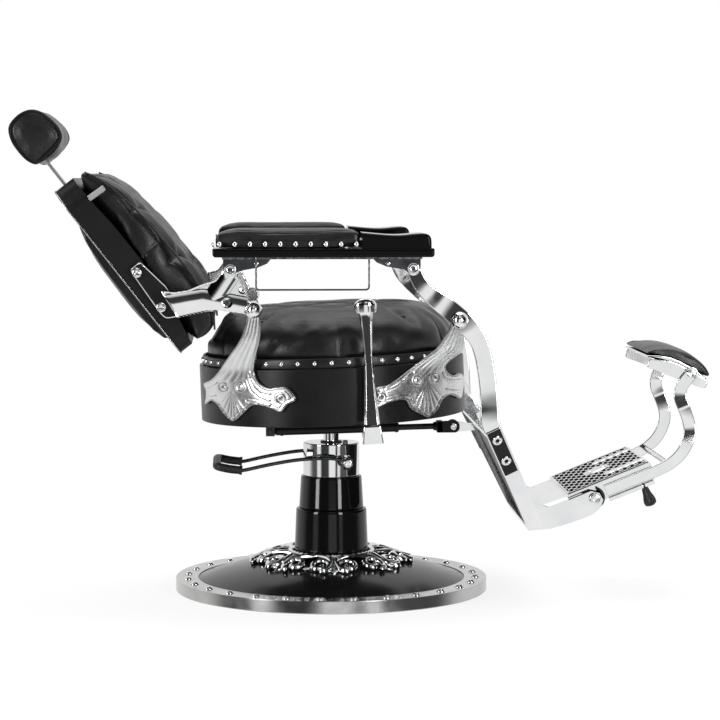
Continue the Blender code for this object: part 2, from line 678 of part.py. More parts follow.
# ------------------------------------------------------------------ lift
def make_lift_piston():
    profile = [(0.0, PISTON_TOP), (PISTON_RADIUS, PISTON_TOP), (PISTON_RADIUS, 0.030), (0.0, 0.030)]
    finish(turned("lift_piston", profile, 20), "chrome", LIFT)


def make_swivel_cone():
    bottom = PISTON_TOP + GAP
    profile = [(0.0, STUB_TOP), (STUB_RADIUS, STUB_TOP), (STUB_RADIUS, SWIVEL_TOP), (0.035, SWIVEL_TOP),
               (0.036, SWIVEL_TOP - 0.002), (0.028, bottom), (0.0, bottom)]
    finish(turned("swivel_cone", profile, 20), "dark_steel", LIFT)


# ------------------------------------------------------------------ seat
def make_seat_mount():
    """Casting under the drum: level boss, raked plate and the fork of the lock strut."""
    mount = box("seat_mount", (-0.155, -0.134, -MOUNT_THICKNESS - GAP), (0.145, 0.134, -GAP), SEAT_FRAME)
    boss_bottom = SWIVEL_TOP + GAP
    boss_profile = [(0.0, 0.362), (0.042, 0.362), (0.042, boss_bottom), (0.0, boss_bottom)]
    join(mount, turned("mount_boss", boss_profile, 20))
    x, z = STRUT_REAR
    for side in (-1, 1):
        inner = -STRUT_OFFSET + side * 0.0085
        outer = -STRUT_OFFSET + side * 0.0135
        low, high = min(inner, outer), max(inner, outer)
        fork = box("strut_fork_" + side_name(side), (x - 0.009, low, z - 0.009), (x + 0.009, high, 0.359))
        join(mount, fork)
    join(mount, drum_along_y("strut_rear_pin", x, z, STRUT_PIN_RADIUS, -STRUT_OFFSET - 0.016,
                             -STRUT_OFFSET + 0.016, 14))
    bore_profile = [(0.0, STUB_TOP + 0.0015), (STUB_RADIUS + 2 * GAP, STUB_TOP + 0.0015),
                    (STUB_RADIUS + 2 * GAP, 0.340), (0.0, 0.340)]
    cut(mount, turned("mount_bore", bore_profile, 20))
    finish(mount, "cast_iron", SEAT)


def make_seat_drum():
    inner = DRUM_RADIUS - DRUM_WALL
    floor = 0.012
    profile = [(0.0, floor), (inner, floor), (inner, DRUM_HEIGHT), (DRUM_RADIUS - 0.001, DRUM_HEIGHT),
               (DRUM_RADIUS, DRUM_HEIGHT - 0.001), (DRUM_RADIUS, 0.002), (DRUM_RADIUS - 0.002, 0.0),
               (0.0, 0.0)]
    finish(turned("seat_drum", profile, DISC_STEPS, SEAT_FRAME), "satin_black", SEAT)


def make_seat_board():
    radius = DRUM_RADIUS - DRUM_WALL - GAP
    top = DRUM_HEIGHT
    profile = [(0.0, top), (radius, top), (radius, top - BOARD_THICKNESS), (0.0, top - BOARD_THICKNESS)]
    finish(turned("seat_board", profile, DISC_STEPS, SEAT_FRAME), "wood", SEAT)


def make_seat_nail_band():
    low = DRUM_HEIGHT + GAP
    high = low + BAND_HEIGHT
    inner = BAND_RADIUS - 0.006
    profile = [(inner, high), (BAND_RADIUS - 0.001, high), (BAND_RADIUS, high - 0.002), (BAND_RADIUS, low),
               (inner, low)]
    band = turned("seat_nail_band", profile, DISC_STEPS, SEAT_FRAME, closed=True)
    places = []
    for i in range(NAIL_COUNT):
        angle = 2 * math.pi * (i + 0.5) / NAIL_COUNT
        out = Vector((math.cos(angle), math.sin(angle), 0.0))
        places.append((out * (BAND_RADIUS - 0.0003) + Vector((0, 0, low + 0.010)), out))
    nails = studs("band_nails", places, NAIL_RADIUS, 0.7)
    nails.matrix_world = SEAT_FRAME
    join(band, nails)
    finish(band, "satin_black", SEAT)


def make_seat_cushion():
    """Round cushion, cut back at the rear where the backrest's foot comes down."""
    low = DRUM_HEIGHT + GAP
    ledge = low + BAND_HEIGHT + GAP
    inner = BAND_RADIUS - 0.0090
    top = low + CUSHION_TOP
    profile = [(0.0, top), (0.120, top - 0.001), (0.200, top - 0.008), (0.243, low + 0.090),
               (0.262, low + 0.072), (0.269, low + 0.048), (0.266, ledge), (inner, ledge), (inner, low),
               (0.0, low)]
    cushion = turned("seat_cushion", profile, 32, SEAT_FRAME)
    cut(cushion, side_plate("cushion_rear_cut", CUSHION_REAR_CUT, -0.40, 0.40))
    finish(cushion, "leather", SEAT)


def drum_tool(name, radius, low, high):
    """A solid disc about the drum's axis with the drum's own facets."""
    profile = [(0.0, high), (radius, high), (radius, low), (0.0, low)]
    return turned(name, profile, DISC_STEPS, SEAT_FRAME)


def make_bracket(position, side, outline, pivot, foot, foot_width):
    """A leaf plate that wraps the drum and a neck that leans out to the pivot's eye."""
    name = position + "_bracket_" + side_name(side)
    reach = sorted((side * 0.03, side * 0.295))
    bracket = side_plate(name, outline, reach[0], reach[1], smooth=True)
    outer = DRUM_RADIUS + 2 * GAP + BRACKET_THICKNESS
    combine(bracket, drum_tool(name + "_outer", outer, -0.02, 0.17), "INTERSECT")
    eye_middle = LINK_INNER - GAP - BRACKET_THICKNESS / 2
    neck = leaning_bar(name + "_neck", (foot[0], side * foot[1], foot[2]),
                       (pivot[0], side * eye_middle, pivot[1]), (foot_width, 0.018),
                       (0.018, BRACKET_THICKNESS - 0.001))
    eye = drum_along_y(name + "_eye", pivot[0], pivot[1], 0.013, side * (eye_middle - BRACKET_THICKNESS / 2),
                       side * (eye_middle + BRACKET_THICKNESS / 2))
    join(bracket, neck, eye)
    cut(bracket, drum_tool(name + "_inner", DRUM_RADIUS + 2 * GAP, -0.03, 0.18))
    finish(bracket, "chrome", SEAT)


def make_pivot_bolt(position, side, pivot):
    """Bolt with a ball head; its shank starts at the bracket's eye."""
    start = LINK_INNER - GAP / 2
    head = LINK_OUTER + GAP
    centre = head + 0.0130
    profile = []
    arc_steps = 6
    for i in range(arc_steps + 1):
        angle = math.radians(90 - 140 * i / arc_steps)
        profile.append((PIVOT_BALL_RADIUS * math.cos(angle), centre + PIVOT_BALL_RADIUS * math.sin(angle)))
    profile[0] = (0.0, profile[0][1])
    profile += [(PIVOT_BOLT_RADIUS, profile[-1][1]), (PIVOT_BOLT_RADIUS, start), (0.0, start)]
    turn = Matrix.Rotation(-side * math.pi / 2, 4, "X")
    place = Matrix.Translation((pivot[0], 0.0, pivot[1])) @ turn
    finish(turned(position + "_pivot_" + side_name(side), profile, 14, place), "chrome", SEAT)


def make_recline_block():
    x, z = LEVER_PIVOT
    block = box("recline_block", (x - 0.016, -0.2835, z - 0.013), (x + 0.016, -0.205, 0.3678), bevel=0.0015)
    bore = drum_along_y("block_bore", x, z, 0.0064, -0.29, -0.258, 16)
    cut(block, bore)
    finish(block, "dark_steel", SEAT)


def make_recline_lever():
    """Tapered hand lever with an egg-shaped knob and a pin that turns in the block."""
    x, z = LEVER_PIVOT
    frame = Matrix.Translation((x, -LEVER_OFFSET, z)) @ Matrix.Rotation(LEVER_LEAN, 4, "Y")
    profile = [(0.0, 0.2690), (0.0120, 0.2660), (0.0205, 0.2590), (0.0225, 0.2510), (0.0180, 0.2440),
               (0.0125, 0.2400), (0.0110, 0.2300), (0.0082, 0.2000), (0.0062, 0.1500), (0.0066, 0.1000),
               (0.0095, 0.0500), (0.0120, 0.0200), (0.0125, 0.0), (0.0100, -0.0110), (0.0, -0.0140)]
    lever = turned("recline_lever", profile, 14, frame)
    join(lever, drum_along_y("lever_pin", x, z, 0.006, -0.292, -0.260, 16))
    finish(lever, "chrome", LEVER)


# ------------------------------------------------------------------ lock strut
def strut_frame():
    """Local X runs from the rear eye to the front eye."""
    rise = STRUT_FRONT[1] - STRUT_REAR[1]
    run = STRUT_FRONT[0] - STRUT_REAR[0]
    turn = Matrix.Rotation(-math.atan2(rise, run), 4, "Y")
    return Matrix.Translation((STRUT_REAR[0], -STRUT_OFFSET, STRUT_REAR[1])) @ turn


def along_strut(name, profile, steps=18):
    """A profile turned about the strut's own axis."""
    return turned(name, profile, steps, strut_frame() @ Matrix.Rotation(math.pi / 2, 4, "Y"))


def make_strut_cylinder():
    open_end = 0.262
    bore = STRUT_ROD_RADIUS + 0.0005
    profile = [(0.0, 0.030), (bore, 0.030), (bore, open_end), (STRUT_RADIUS, open_end), (STRUT_RADIUS, 0.014),
               (0.006, 0.006), (0.0, 0.006)]
    cylinder = along_strut("strut_cylinder", profile)
    x, z = STRUT_REAR
    join(cylinder, drum_along_y("strut_rear_eye", x, z, 0.0088, -STRUT_OFFSET - 0.008, -STRUT_OFFSET + 0.008))
    cut(cylinder, drum_along_y("strut_rear_bore", x, z, STRUT_PIN_RADIUS + GAP, -STRUT_OFFSET - 0.02,
                               -STRUT_OFFSET + 0.02, 14))
    finish(cylinder, "satin_black", STRUT)


def make_strut_rod():
    length = math.dist(STRUT_REAR, STRUT_FRONT)
    start, end = 0.110, length - 0.009
    profile = [(0.0, end), (STRUT_ROD_RADIUS, end), (STRUT_ROD_RADIUS, start), (0.0, start)]
    rod = along_strut("strut_rod", profile)
    x, z = STRUT_FRONT
    join(rod, drum_along_y("strut_front_eye", x, z, 0.0125, -STRUT_OFFSET - 0.0095, -STRUT_OFFSET + 0.0095))
    cut(rod, drum_along_y("strut_front_bore", x, z, STRUT_PIN_RADIUS + STRUT_EYE_PLAY, -STRUT_OFFSET - 0.02,
                          -STRUT_OFFSET + 0.02))
    finish(rod, "satin_black", STRUT_SLIDE)


# ------------------------------------------------------------------ backrest
def back_outline(grow=0.0, radius_top=0.055, radius_bottom=0.030):
    return rounded_outline(BACK_HALF_WIDTH + grow, BACK_BOTTOM - grow, BACK_TOP + grow, radius_bottom,
                           radius_top)


def make_backrest_frame():
    half = BACK_HALF_WIDTH
    frame = side_plate("backrest_frame", FRAME_SECTION, -half - 0.01, half + 0.01, BACK_FRAME)
    combine(frame, face_plate("frame_front_view", back_outline(), -0.02, 0.08, BACK_FRAME), "INTERSECT")
    half_post = POST_WIDTH / 2 + 0.0006
    deep = POST_THICKNESS / 2 + 0.0004
    cut(frame, box("post_pocket", (POST_DEPTH - deep, -half_post, POCKET_BOTTOM),
                   (POST_DEPTH + deep, half_post, BACK_TOP + 0.01), BACK_FRAME))
    cut(frame, along_back("knob_bore", [(0.0, 0.02), (KNOB_SHAFT_RADIUS + 0.0005, 0.02),
                                        (KNOB_SHAFT_RADIUS + 0.0005, -POST_DEPTH), (0.0, -POST_DEPTH)]))
    finish(frame, "satin_black", BACK)


def along_back(name, profile):
    """A profile turned about an axis that leaves the back's rear face at the knob's height."""
    place = BACK_FRAME @ Matrix.Translation((0.0, 0.0, KNOB_HEIGHT)) @ Matrix.Rotation(-math.pi / 2, 4, "Y")
    return turned(name, profile, 16, place)


def make_backrest_cushion():
    half = BACK_HALF_WIDTH - 0.004
    cushion = side_plate("backrest_cushion", CUSHION_SECTION, -half - 0.01, half + 0.01, BACK_FRAME)
    outline = rounded_outline(half, -0.0915, 0.3285, 0.045, 0.060)
    combine(cushion, face_plate("cushion_front_view", outline, 0.0, 0.2, BACK_FRAME), "INTERSECT")
    finish(cushion, "leather", BACK)


def make_backrest_panel():
    half = BACK_HALF_WIDTH - 0.028
    panel = side_plate("backrest_panel", PANEL_SECTION, -half - 0.01, half + 0.01, BACK_FRAME)
    outline = rounded_outline(half, -0.050, 0.264, 0.030, 0.050)
    combine(panel, face_plate("panel_front_view", outline, -0.1, 0.1, BACK_FRAME), "INTERSECT")
    finish(panel, "leather", BACK)


def make_backrest_trim():
    low, high = -GAP - TRIM_THICKNESS, -GAP
    trim = face_plate("backrest_trim", back_outline(0.0015), low, high, BACK_FRAME)
    hole = rounded_outline(BACK_HALF_WIDTH - TRIM_WIDTH, BACK_BOTTOM + TRIM_WIDTH, BACK_TOP - TRIM_WIDTH,
                           0.024, 0.045)
    cut(trim, face_plate("trim_hole", hole, low - 0.01, high + 0.01, BACK_FRAME))
    finish(trim, "chrome", BACK)


def make_back_strap(side):
    """Plate on the frame's side with two bolt heads."""
    name = "back_strap_" + side_name(side)
    strap = side_plate(name, STRAP_OUTLINE, side * (BACK_HALF_WIDTH + GAP), side * STRAP_OUTER)
    for number, (x, z) in enumerate(STRAP_BOLTS):
        join(strap, drum_along_y(name + "_bolt_" + str(number), x, z, 0.0095, side * (STRAP_OUTER - 0.002),
                                 side * (STRAP_OUTER + 0.004), 12))
    finish(strap, "satin_black", BACK)


def make_back_casting(side):
    """Triangle plate with eyes for the recline pivot and the armrest, stood off from the strap."""
    name = "back_casting_" + side_name(side)
    casting = side_plate(name, CASTING_OUTLINE, side * LINK_INNER, side * LINK_OUTER)
    foot = side_plate(name + "_foot", CASTING_FOOT, side * (STRAP_OUTER + GAP), side * (LINK_INNER + 0.004))
    join(casting, foot)
    bores = [(REAR_PIVOT, PIVOT_BOLT_RADIUS + 0.0005, "_pivot_bore"),
             (ARM_REAR_PIVOT, ARM_PIN_RADIUS + 0.0005, "_arm_bore")]
    for (x, z), radius, suffix in bores:
        cut(casting, drum_along_y(name + suffix, x, z, radius, side * 0.28, side * 0.32))
    finish(casting, "chrome", BACK)


# ------------------------------------------------------------------ headrest
def make_headrest_post():
    half_depth = POST_THICKNESS / 2
    post = box("headrest_post", (POST_DEPTH - half_depth, -POST_WIDTH / 2, POST_BOTTOM),
               (POST_DEPTH + half_depth, POST_WIDTH / 2, POST_TOP), BACK_FRAME, bevel=0.001)
    finish(post, "steel", HEAD)


def make_headrest_cushion():
    half = HEADREST_HALF_WIDTH
    cushion = side_plate("headrest_cushion", HEADREST_SECTION, -half, half, BACK_FRAME)
    outline = rounded_outline(half, 0.385, 0.495, 0.030, 0.030)
    combine(cushion, face_plate("headrest_front_view", outline, -0.1, 0.2, BACK_FRAME), "INTERSECT")
    deep = POST_THICKNESS / 2 + GAP
    across = POST_WIDTH / 2 + GAP
    cut(cushion, box("headrest_pocket", (POST_DEPTH - deep, -across, 0.37),
                     (POST_DEPTH + deep, across, POST_TOP + GAP), BACK_FRAME))
    finish(cushion, "leather", HEAD)


def make_headrest_knob():
    tip = -(POST_DEPTH - POST_THICKNESS / 2 - 0.0006)
    profile = [(0.0, 0.0200), (0.0070, 0.0195), (0.0105, 0.0165), (0.0110, 0.0110), (0.0070, 0.0060),
               (0.0070, 0.0040), (KNOB_SHAFT_RADIUS, 0.0040), (KNOB_SHAFT_RADIUS, tip), (0.0, tip)]
    finish(along_back("headrest_knob", profile), "chrome", HEAD_KNOB)


# ------------------------------------------------------------------ armrests
def make_armrest_base(side):
    name = "armrest_base_" + side_name(side)
    inner, outer = ARM_MIDDLE - ARM_HALF_WIDTH, ARM_MIDDLE + ARM_HALF_WIDTH
    plinth = side_plate(name, PLINTH_OUTLINE, side * inner, side * outer)
    bevel = plinth.modifiers.new("bevel", "BEVEL")
    bevel.width = 0.0025
    bevel.segments = 2
    bevel.limit_method = "ANGLE"
    bevel.angle_limit = math.radians(50)
    finish(plinth, "gloss_black", ARMS[side])


def make_armrest_pad(side):
    name = "armrest_pad_" + side_name(side)
    inner, outer = ARM_MIDDLE - PAD_HALF_WIDTH, ARM_MIDDLE + PAD_HALF_WIDTH
    finish(side_plate(name, PAD_OUTLINE, side * inner, side * outer), "leather", ARMS[side])


def make_armrest_nails(side):
    """Strip on the pad's outer side with a row of domed nails."""
    name = "armrest_nails_" + side_name(side)
    face = side * (ARM_MIDDLE + PAD_HALF_WIDTH + GAP)
    outer = face + side * NAIL_STRIP
    low, high = min(face, outer), max(face, outer)
    strip = box(name, (-0.236, low, NAILS_HEIGHT - 0.005), (0.0440, high, NAILS_HEIGHT + 0.005))
    places = []
    for i in range(ARM_NAILS):
        x = NAILS_START + (NAILS_END - NAILS_START) * i / (ARM_NAILS - 1)
        places.append(((x, outer - side * 0.0003, NAILS_HEIGHT), (0, side, 0)))
    join(strip, studs(name + "_heads", places, 0.0042, 0.55))
    finish(strip, "leather", ARMS[side])


def make_armrest_bracket(side):
    """Strip under the plinth with two lugs; each lug carries a pin with a bolt head."""
    name = "armrest_bracket_" + side_name(side)
    inner, outer = sorted((side * (LUG_INNER + 0.0015), side * 0.330))
    top = 0.704 - GAP
    bracket = box(name, (-0.224, inner, top - STRIP_HEIGHT), (0.166, outer, top))
    for suffix, outline in (("_rear_lug", REAR_LUG), ("_front_lug", FRONT_LUG)):
        lug = side_plate(name + suffix, outline, side * LUG_INNER, side * (LUG_INNER + LUG_THICKNESS))
        join(bracket, lug)
    for suffix, (x, z) in (("_rear", ARM_REAR_PIVOT), ("_front", ARM_FRONT_PIVOT)):
        head_start = side * (LUG_INNER + LUG_THICKNESS - 0.002)
        head_end = side * (LUG_INNER + LUG_THICKNESS + 0.004)
        join(bracket, drum_along_y(name + suffix + "_head", x, z, 0.009, head_start, head_end, 12))
        pin_start = side * (LINK_INNER - 0.002)
        pin_end = side * (LUG_INNER + 0.0035)
        join(bracket, drum_along_y(name + suffix + "_pin", x, z, ARM_PIN_RADIUS, pin_start, pin_end, 18))
    finish(bracket, "dark_steel", ARMS[side])


def make_towel_rail():
    """Thin wire rail under the right armrest."""
    rear, front = RAIL_ENDS
    top = 0.704 - 2 * GAP
    y = -RAIL_OFFSET
    bend = 0.004
    points = [(rear, y, top), (rear, y, RAIL_BOTTOM + bend), (rear + bend, y, RAIL_BOTTOM),
              (front - bend, y, RAIL_BOTTOM), (front, y, RAIL_BOTTOM + bend), (front, y, top)]
    finish(tube("towel_rail", points, RAIL_RADIUS), "chrome", ARMS[RIGHT])


# ------------------------------------------------------------------ leg frame
def make_leg_bar(side):
    name = "leg_bar_" + side_name(side)
    outline = widened(LEG_PATH, LEG_WIDTH_TOP, LEG_WIDTH_BOTTOM)
    bar = side_plate(name, outline, side * LINK_INNER, side * LINK_OUTER)
    bores = [(FRONT_PIVOT, PIVOT_BOLT_RADIUS + 0.0005, "_pivot_bore"),
             (ARM_FRONT_PIVOT, ARM_PIN_RADIUS + 0.0012, "_arm_bore")]
    join(bar, drum_along_y(name + "_eye", *ARM_FRONT_PIVOT, 0.013, side * LINK_INNER, side * LINK_OUTER, 20))
    for (x, z), radius, suffix in bores:
        cut(bar, drum_along_y(name + suffix, x, z, radius, side * 0.28, side * 0.32))
    finish(bar, "chrome", LEGS)


def make_leg_casting():
    """Tapered box frame of the shin with the footrest arms, their pins and the strut's lug."""
    half_top, half_bottom = SHIN_HALF_TOP, SHIN_HALF_BOTTOM
    outer = [(-half_top, 0.030), (-half_top, -0.030), (-half_bottom, -SHIN_LENGTH),
             (half_bottom, -SHIN_LENGTH), (half_top, -0.030), (half_top, 0.030)]
    casting = face_plate("leg_casting", outer, -SHIN_HALF_DEPTH, SHIN_HALF_DEPTH, SHIN_FRAME)
    reach = SHIN_HALF_DEPTH + 0.01
    notch_half = half_top - SHIN_WALL
    notch = [(-notch_half, 0.05), (-notch_half, -0.014), (notch_half, -0.014), (notch_half, 0.05)]
    cut(casting, face_plate("shin_notch", notch, -reach, reach, SHIN_FRAME))
    cut(casting, face_plate("shin_window", shin_window(0.0), -reach, reach, SHIN_FRAME))
    for side in (RIGHT, LEFT):
        name = "hinge_arm_" + side_name(side)
        x, z = HINGE_PIVOT
        arm = side_plate(name, HINGE_ARM, side * HINGE_INNER, side * HINGE_OUTER)
        pin_start, pin_end = side * 0.1385, side * (HINGE_INNER + 0.003)
        pin = drum_along_y(name + "_pin", x, z, HINGE_PIN_RADIUS, pin_start, pin_end, 16)
        head_start, head_end = side * (HINGE_OUTER - 0.002), side * (HINGE_OUTER + 0.005)
        join(casting, arm, pin, drum_along_y(name + "_head", x, z, 0.0105, head_start, head_end, 16))
    x, z = STRUT_FRONT
    lug = [(x - 0.011, z - 0.006), (x - 0.006, z - 0.011), (x + 0.010, z - 0.011), (0.3048, 0.3458),
           (0.3006, 0.3548), (x + 0.006, z + 0.010), (x - 0.006, z + 0.010), (x - 0.011, z + 0.006)]
    half_pin = 0.012
    join(casting, side_plate("strut_lug", lug, -STRUT_OFFSET - 0.017, -STRUT_OFFSET - 0.0102),
         drum_along_y("strut_front_pin", x, z, STRUT_PIN_RADIUS, -STRUT_OFFSET - half_pin,
                      -STRUT_OFFSET + half_pin, 14))
    finish(casting, "chrome", LEGS)


def shin_window(shrink):
    """The opening of the shin frame; the panel is the same shape, a little smaller."""
    top, bottom = -0.027 - shrink, -SHIN_LENGTH + 0.014 + shrink
    slope = (SHIN_HALF_TOP - SHIN_HALF_BOTTOM) / (SHIN_LENGTH - 0.030)
    half_top = SHIN_HALF_TOP - SHIN_WALL - shrink
    half_bottom = SHIN_HALF_BOTTOM - SHIN_WALL + slope * 0.014 - shrink
    return [(-half_top, top), (-half_bottom, bottom), (half_bottom, bottom), (half_top, top)]


def make_leg_panel():
    finish(face_plate("leg_panel", shin_window(0.0008), -0.004, 0.004, SHIN_FRAME), "satin_black", LEGS)


# ------------------------------------------------------------------ footrest
def make_foot_tread():
    """Tread plate with side walls, ledges that carry the sliding bars and holes for the clamp screws."""
    half = TREAD_HALF_WIDTH
    corner = (TREAD_REAR, -half, TREAD_TOP - TREAD_THICKNESS)
    tread = box("foot_tread", corner, (TREAD_FRONT, half, TREAD_TOP), TREAD_FRAME)
    wall = [(-0.018, TREAD_TOP - 0.001), (-0.016, -0.006), (-0.008, WALL_BOTTOM),
            (TREAD_FRONT - 0.004, WALL_BOTTOM), (TREAD_FRONT, WALL_BOTTOM + 0.006),
            (TREAD_FRONT, TREAD_TOP - 0.001)]
    bore = HINGE_PIN_RADIUS + 0.0004
    for side in (RIGHT, LEFT):
        name = side_name(side)
        wall_inner = side * (half - WALL_THICKNESS)
        join(tread, side_plate("wall_" + name, wall, wall_inner, side * half, TREAD_FRAME))
        inner, outer = sorted((side * (half - 0.004), side * ARM_BAR_OUTER))
        corner, opposite = (0.030, inner, LEDGE_BOTTOM), (TREAD_FRONT - 0.006, outer, LEDGE_TOP)
        join(tread, box("ledge_" + name, corner, opposite, TREAD_FRAME))
        x, z = HINGE_PIVOT
        cut(tread, drum_along_y("hinge_bore_" + name, x, z, bore, side * 0.13, side * 0.152, 16))
        hole = [(0.0, 0.0), (0.0035, 0.0), (0.0035, -0.03), (0.0, -0.03)]
        cut(tread, turned("clamp_hole_" + name, hole, 12, clamp_place(side)))
    finish(tread, "chrome", FOOT)


def clamp_place(side):
    middle = (ARM_BAR_INNER + ARM_BAR_OUTER) / 2
    return TREAD_FRAME @ Matrix.Translation((KNOB_PLACE, side * middle, 0.0))


def make_clamp_knob(side):
    """Screw through the ledge with a tear-shaped grip below."""
    name = "clamp_knob_" + side_name(side)
    profile = [(0.0, -0.0122), (0.003, -0.0122), (0.003, -0.0205), (0.0050, -0.0205), (0.0060, -0.0240),
               (0.0100, -0.0270), (0.0115, -0.0330), (0.0105, -0.0430), (0.0075, -0.0540), (0.0040, -0.0590),
               (0.0, -0.0600)]
    place = clamp_place(side)
    knob = new_empty("axis_" + name, *place.translation.xz, y=place.translation.y, parent=FOOT)
    finish(turned(name, profile, 16, place), "rubber", knob)


def make_calf_frame():
    """Two flat bars, straight in the tread's channels and curved above, tied by a cross rod."""
    outline = widened(CALF_PATH, CALF_BAR_WIDTH - 0.003, CALF_BAR_WIDTH)
    frame = side_plate("calf_frame", outline, -ARM_BAR_OUTER, -ARM_BAR_INNER)
    join(frame, side_plate("calf_bar_left", outline, ARM_BAR_INNER, ARM_BAR_OUTER))
    reach = ARM_BAR_INNER + 0.002
    join(frame, drum_along_y("calf_cross_rod", *CALF_ROD, CALF_ROD_RADIUS, -reach, reach, 14))
    x, z = PAD_PIVOT
    for side in (RIGHT, LEFT):
        cut(frame, drum_along_y("calf_bore_" + side_name(side), x, z, 0.0055, side * 0.14, side * 0.16, 16))
    finish(frame, "chrome", CALF)


def make_calf_shell():
    """Thin curved plate under the pad with two side lugs and their pins."""
    half = CALF_HALF_WIDTH
    upper = [(x, z - GAP * 2) for x, z in CALF_PAD_BOTTOM]
    shell = side_plate("calf_shell", upper + SHELL_BOTTOM, -half, half)
    x, z = PAD_PIVOT
    for side in (RIGHT, LEFT):
        name = side_name(side)
        lug = side_plate("shell_lug_" + name, SHELL_LUG, side * (half - 0.008), side * half)
        pin_start, pin_end = side * (half - 0.004), side * (ARM_BAR_OUTER + 0.0002)
        join(shell, lug, drum_along_y("shell_pin_" + name, x, z, 0.005, pin_start, pin_end, 16))
    finish(shell, "chrome", CALF_PAD)


def make_calf_pad():
    pad = side_plate("calf_pad", CALF_PAD_BOTTOM + CALF_PAD_TOP, -CALF_HALF_WIDTH, CALF_HALF_WIDTH)
    finish(pad, "leather", CALF_PAD)


# ------------------------------------------------------------------ build
def build():
    make_base_plate()
    make_base_ring()
    make_base_dish()
    make_base_ornament()
    make_pump_cylinder()
    make_lower_cover()
    make_upper_cover()
    make_sleeve_head()
    make_pump_shaft()
    make_pump_lever()
    make_pump_grip()
    make_lift_piston()
    make_swivel_cone()
    make_seat_mount()
    make_seat_drum()
    make_seat_board()
    make_seat_nail_band()
    make_seat_cushion()
    make_recline_block()
    make_recline_lever()
    make_strut_cylinder()
    make_strut_rod()
    make_backrest_frame()
    make_backrest_cushion()
    make_backrest_panel()
    make_backrest_trim()
    make_headrest_post()
    make_headrest_cushion()
    make_headrest_knob()
    make_towel_rail()
    make_leg_casting()
    make_leg_panel()
    make_foot_tread()
    make_calf_frame()
    make_calf_shell()
    make_calf_pad()
    for side in (RIGHT, LEFT):
        make_bracket("rear", side, REAR_LEAF, REAR_PIVOT, (-0.181, 0.2240, 0.462), 0.036)
        make_bracket("front", side, FRONT_LEAF, FRONT_PIVOT, (0.212, 0.1890, 0.452), 0.044)
        make_pivot_bolt("rear", side, REAR_PIVOT)
        make_pivot_bolt("front", side, FRONT_PIVOT)
        make_back_strap(side)
        make_back_casting(side)
        make_armrest_base(side)
        make_armrest_pad(side)
        make_armrest_nails(side)
        make_armrest_bracket(side)
        make_leg_bar(side)
        make_clamp_knob(side)


build()
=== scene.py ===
"""Looks of a hydraulic barber chair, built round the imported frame.

Units are metres in the frame's own axes: +X is the chair's front, -Y its right side, +Z up.
A shape is kept as a pair of (points, faces) until it becomes a piece that rides on a body.
"""
import json
import math

import bmesh
import bpy
import numpy as np
from mathutils import Matrix, Vector


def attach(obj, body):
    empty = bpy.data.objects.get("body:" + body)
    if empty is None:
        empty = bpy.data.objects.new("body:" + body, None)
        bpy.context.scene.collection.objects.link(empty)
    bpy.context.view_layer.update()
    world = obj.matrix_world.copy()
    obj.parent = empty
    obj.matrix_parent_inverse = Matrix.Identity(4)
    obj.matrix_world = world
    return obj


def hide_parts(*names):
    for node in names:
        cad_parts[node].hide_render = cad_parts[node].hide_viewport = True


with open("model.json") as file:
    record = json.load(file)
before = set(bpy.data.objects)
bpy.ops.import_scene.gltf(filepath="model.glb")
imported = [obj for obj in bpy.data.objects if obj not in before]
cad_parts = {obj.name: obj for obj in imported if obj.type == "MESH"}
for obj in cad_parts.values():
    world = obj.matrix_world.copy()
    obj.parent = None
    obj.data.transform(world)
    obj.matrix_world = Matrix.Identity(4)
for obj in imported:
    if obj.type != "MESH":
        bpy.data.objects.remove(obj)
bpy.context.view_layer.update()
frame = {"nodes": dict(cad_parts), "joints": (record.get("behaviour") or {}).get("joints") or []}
NODES = frame["nodes"]
JOINTS = {joint["name"]: joint for joint in frame["joints"]}
SIDES = (("right", -1), ("left", 1))
TAU = 2 * math.pi


def turned_frame(x, z, degrees):
    return Matrix.Translation((x, 0.0, z)) @ Matrix.Rotation(math.radians(degrees), 4, "Y")


def pivot(name):
    """(x, z) of a hinge that turns about Y."""
    place = JOINTS[name]["pos_m"]
    return place[0], place[2]


SEAT = turned_frame(0.005, 0.3665, -2.2)
BACK = turned_frame(-0.353, 0.574, -37.9)
SHIN = turned_frame(0.303, 0.373, -25.3)
TREAD = turned_frame(*pivot("footrest_fold"), -21.6)
RECLINE = pivot("recline")
ARM_REAR = pivot("armrest_right_link")
LEG_PIVOT = pivot("leg_swing")
ARM_FRONT = (0.15, 0.68)
LINK_INNER, LINK_OUTER = 0.2925, 0.3025
ARM_MIDDLE = 0.315


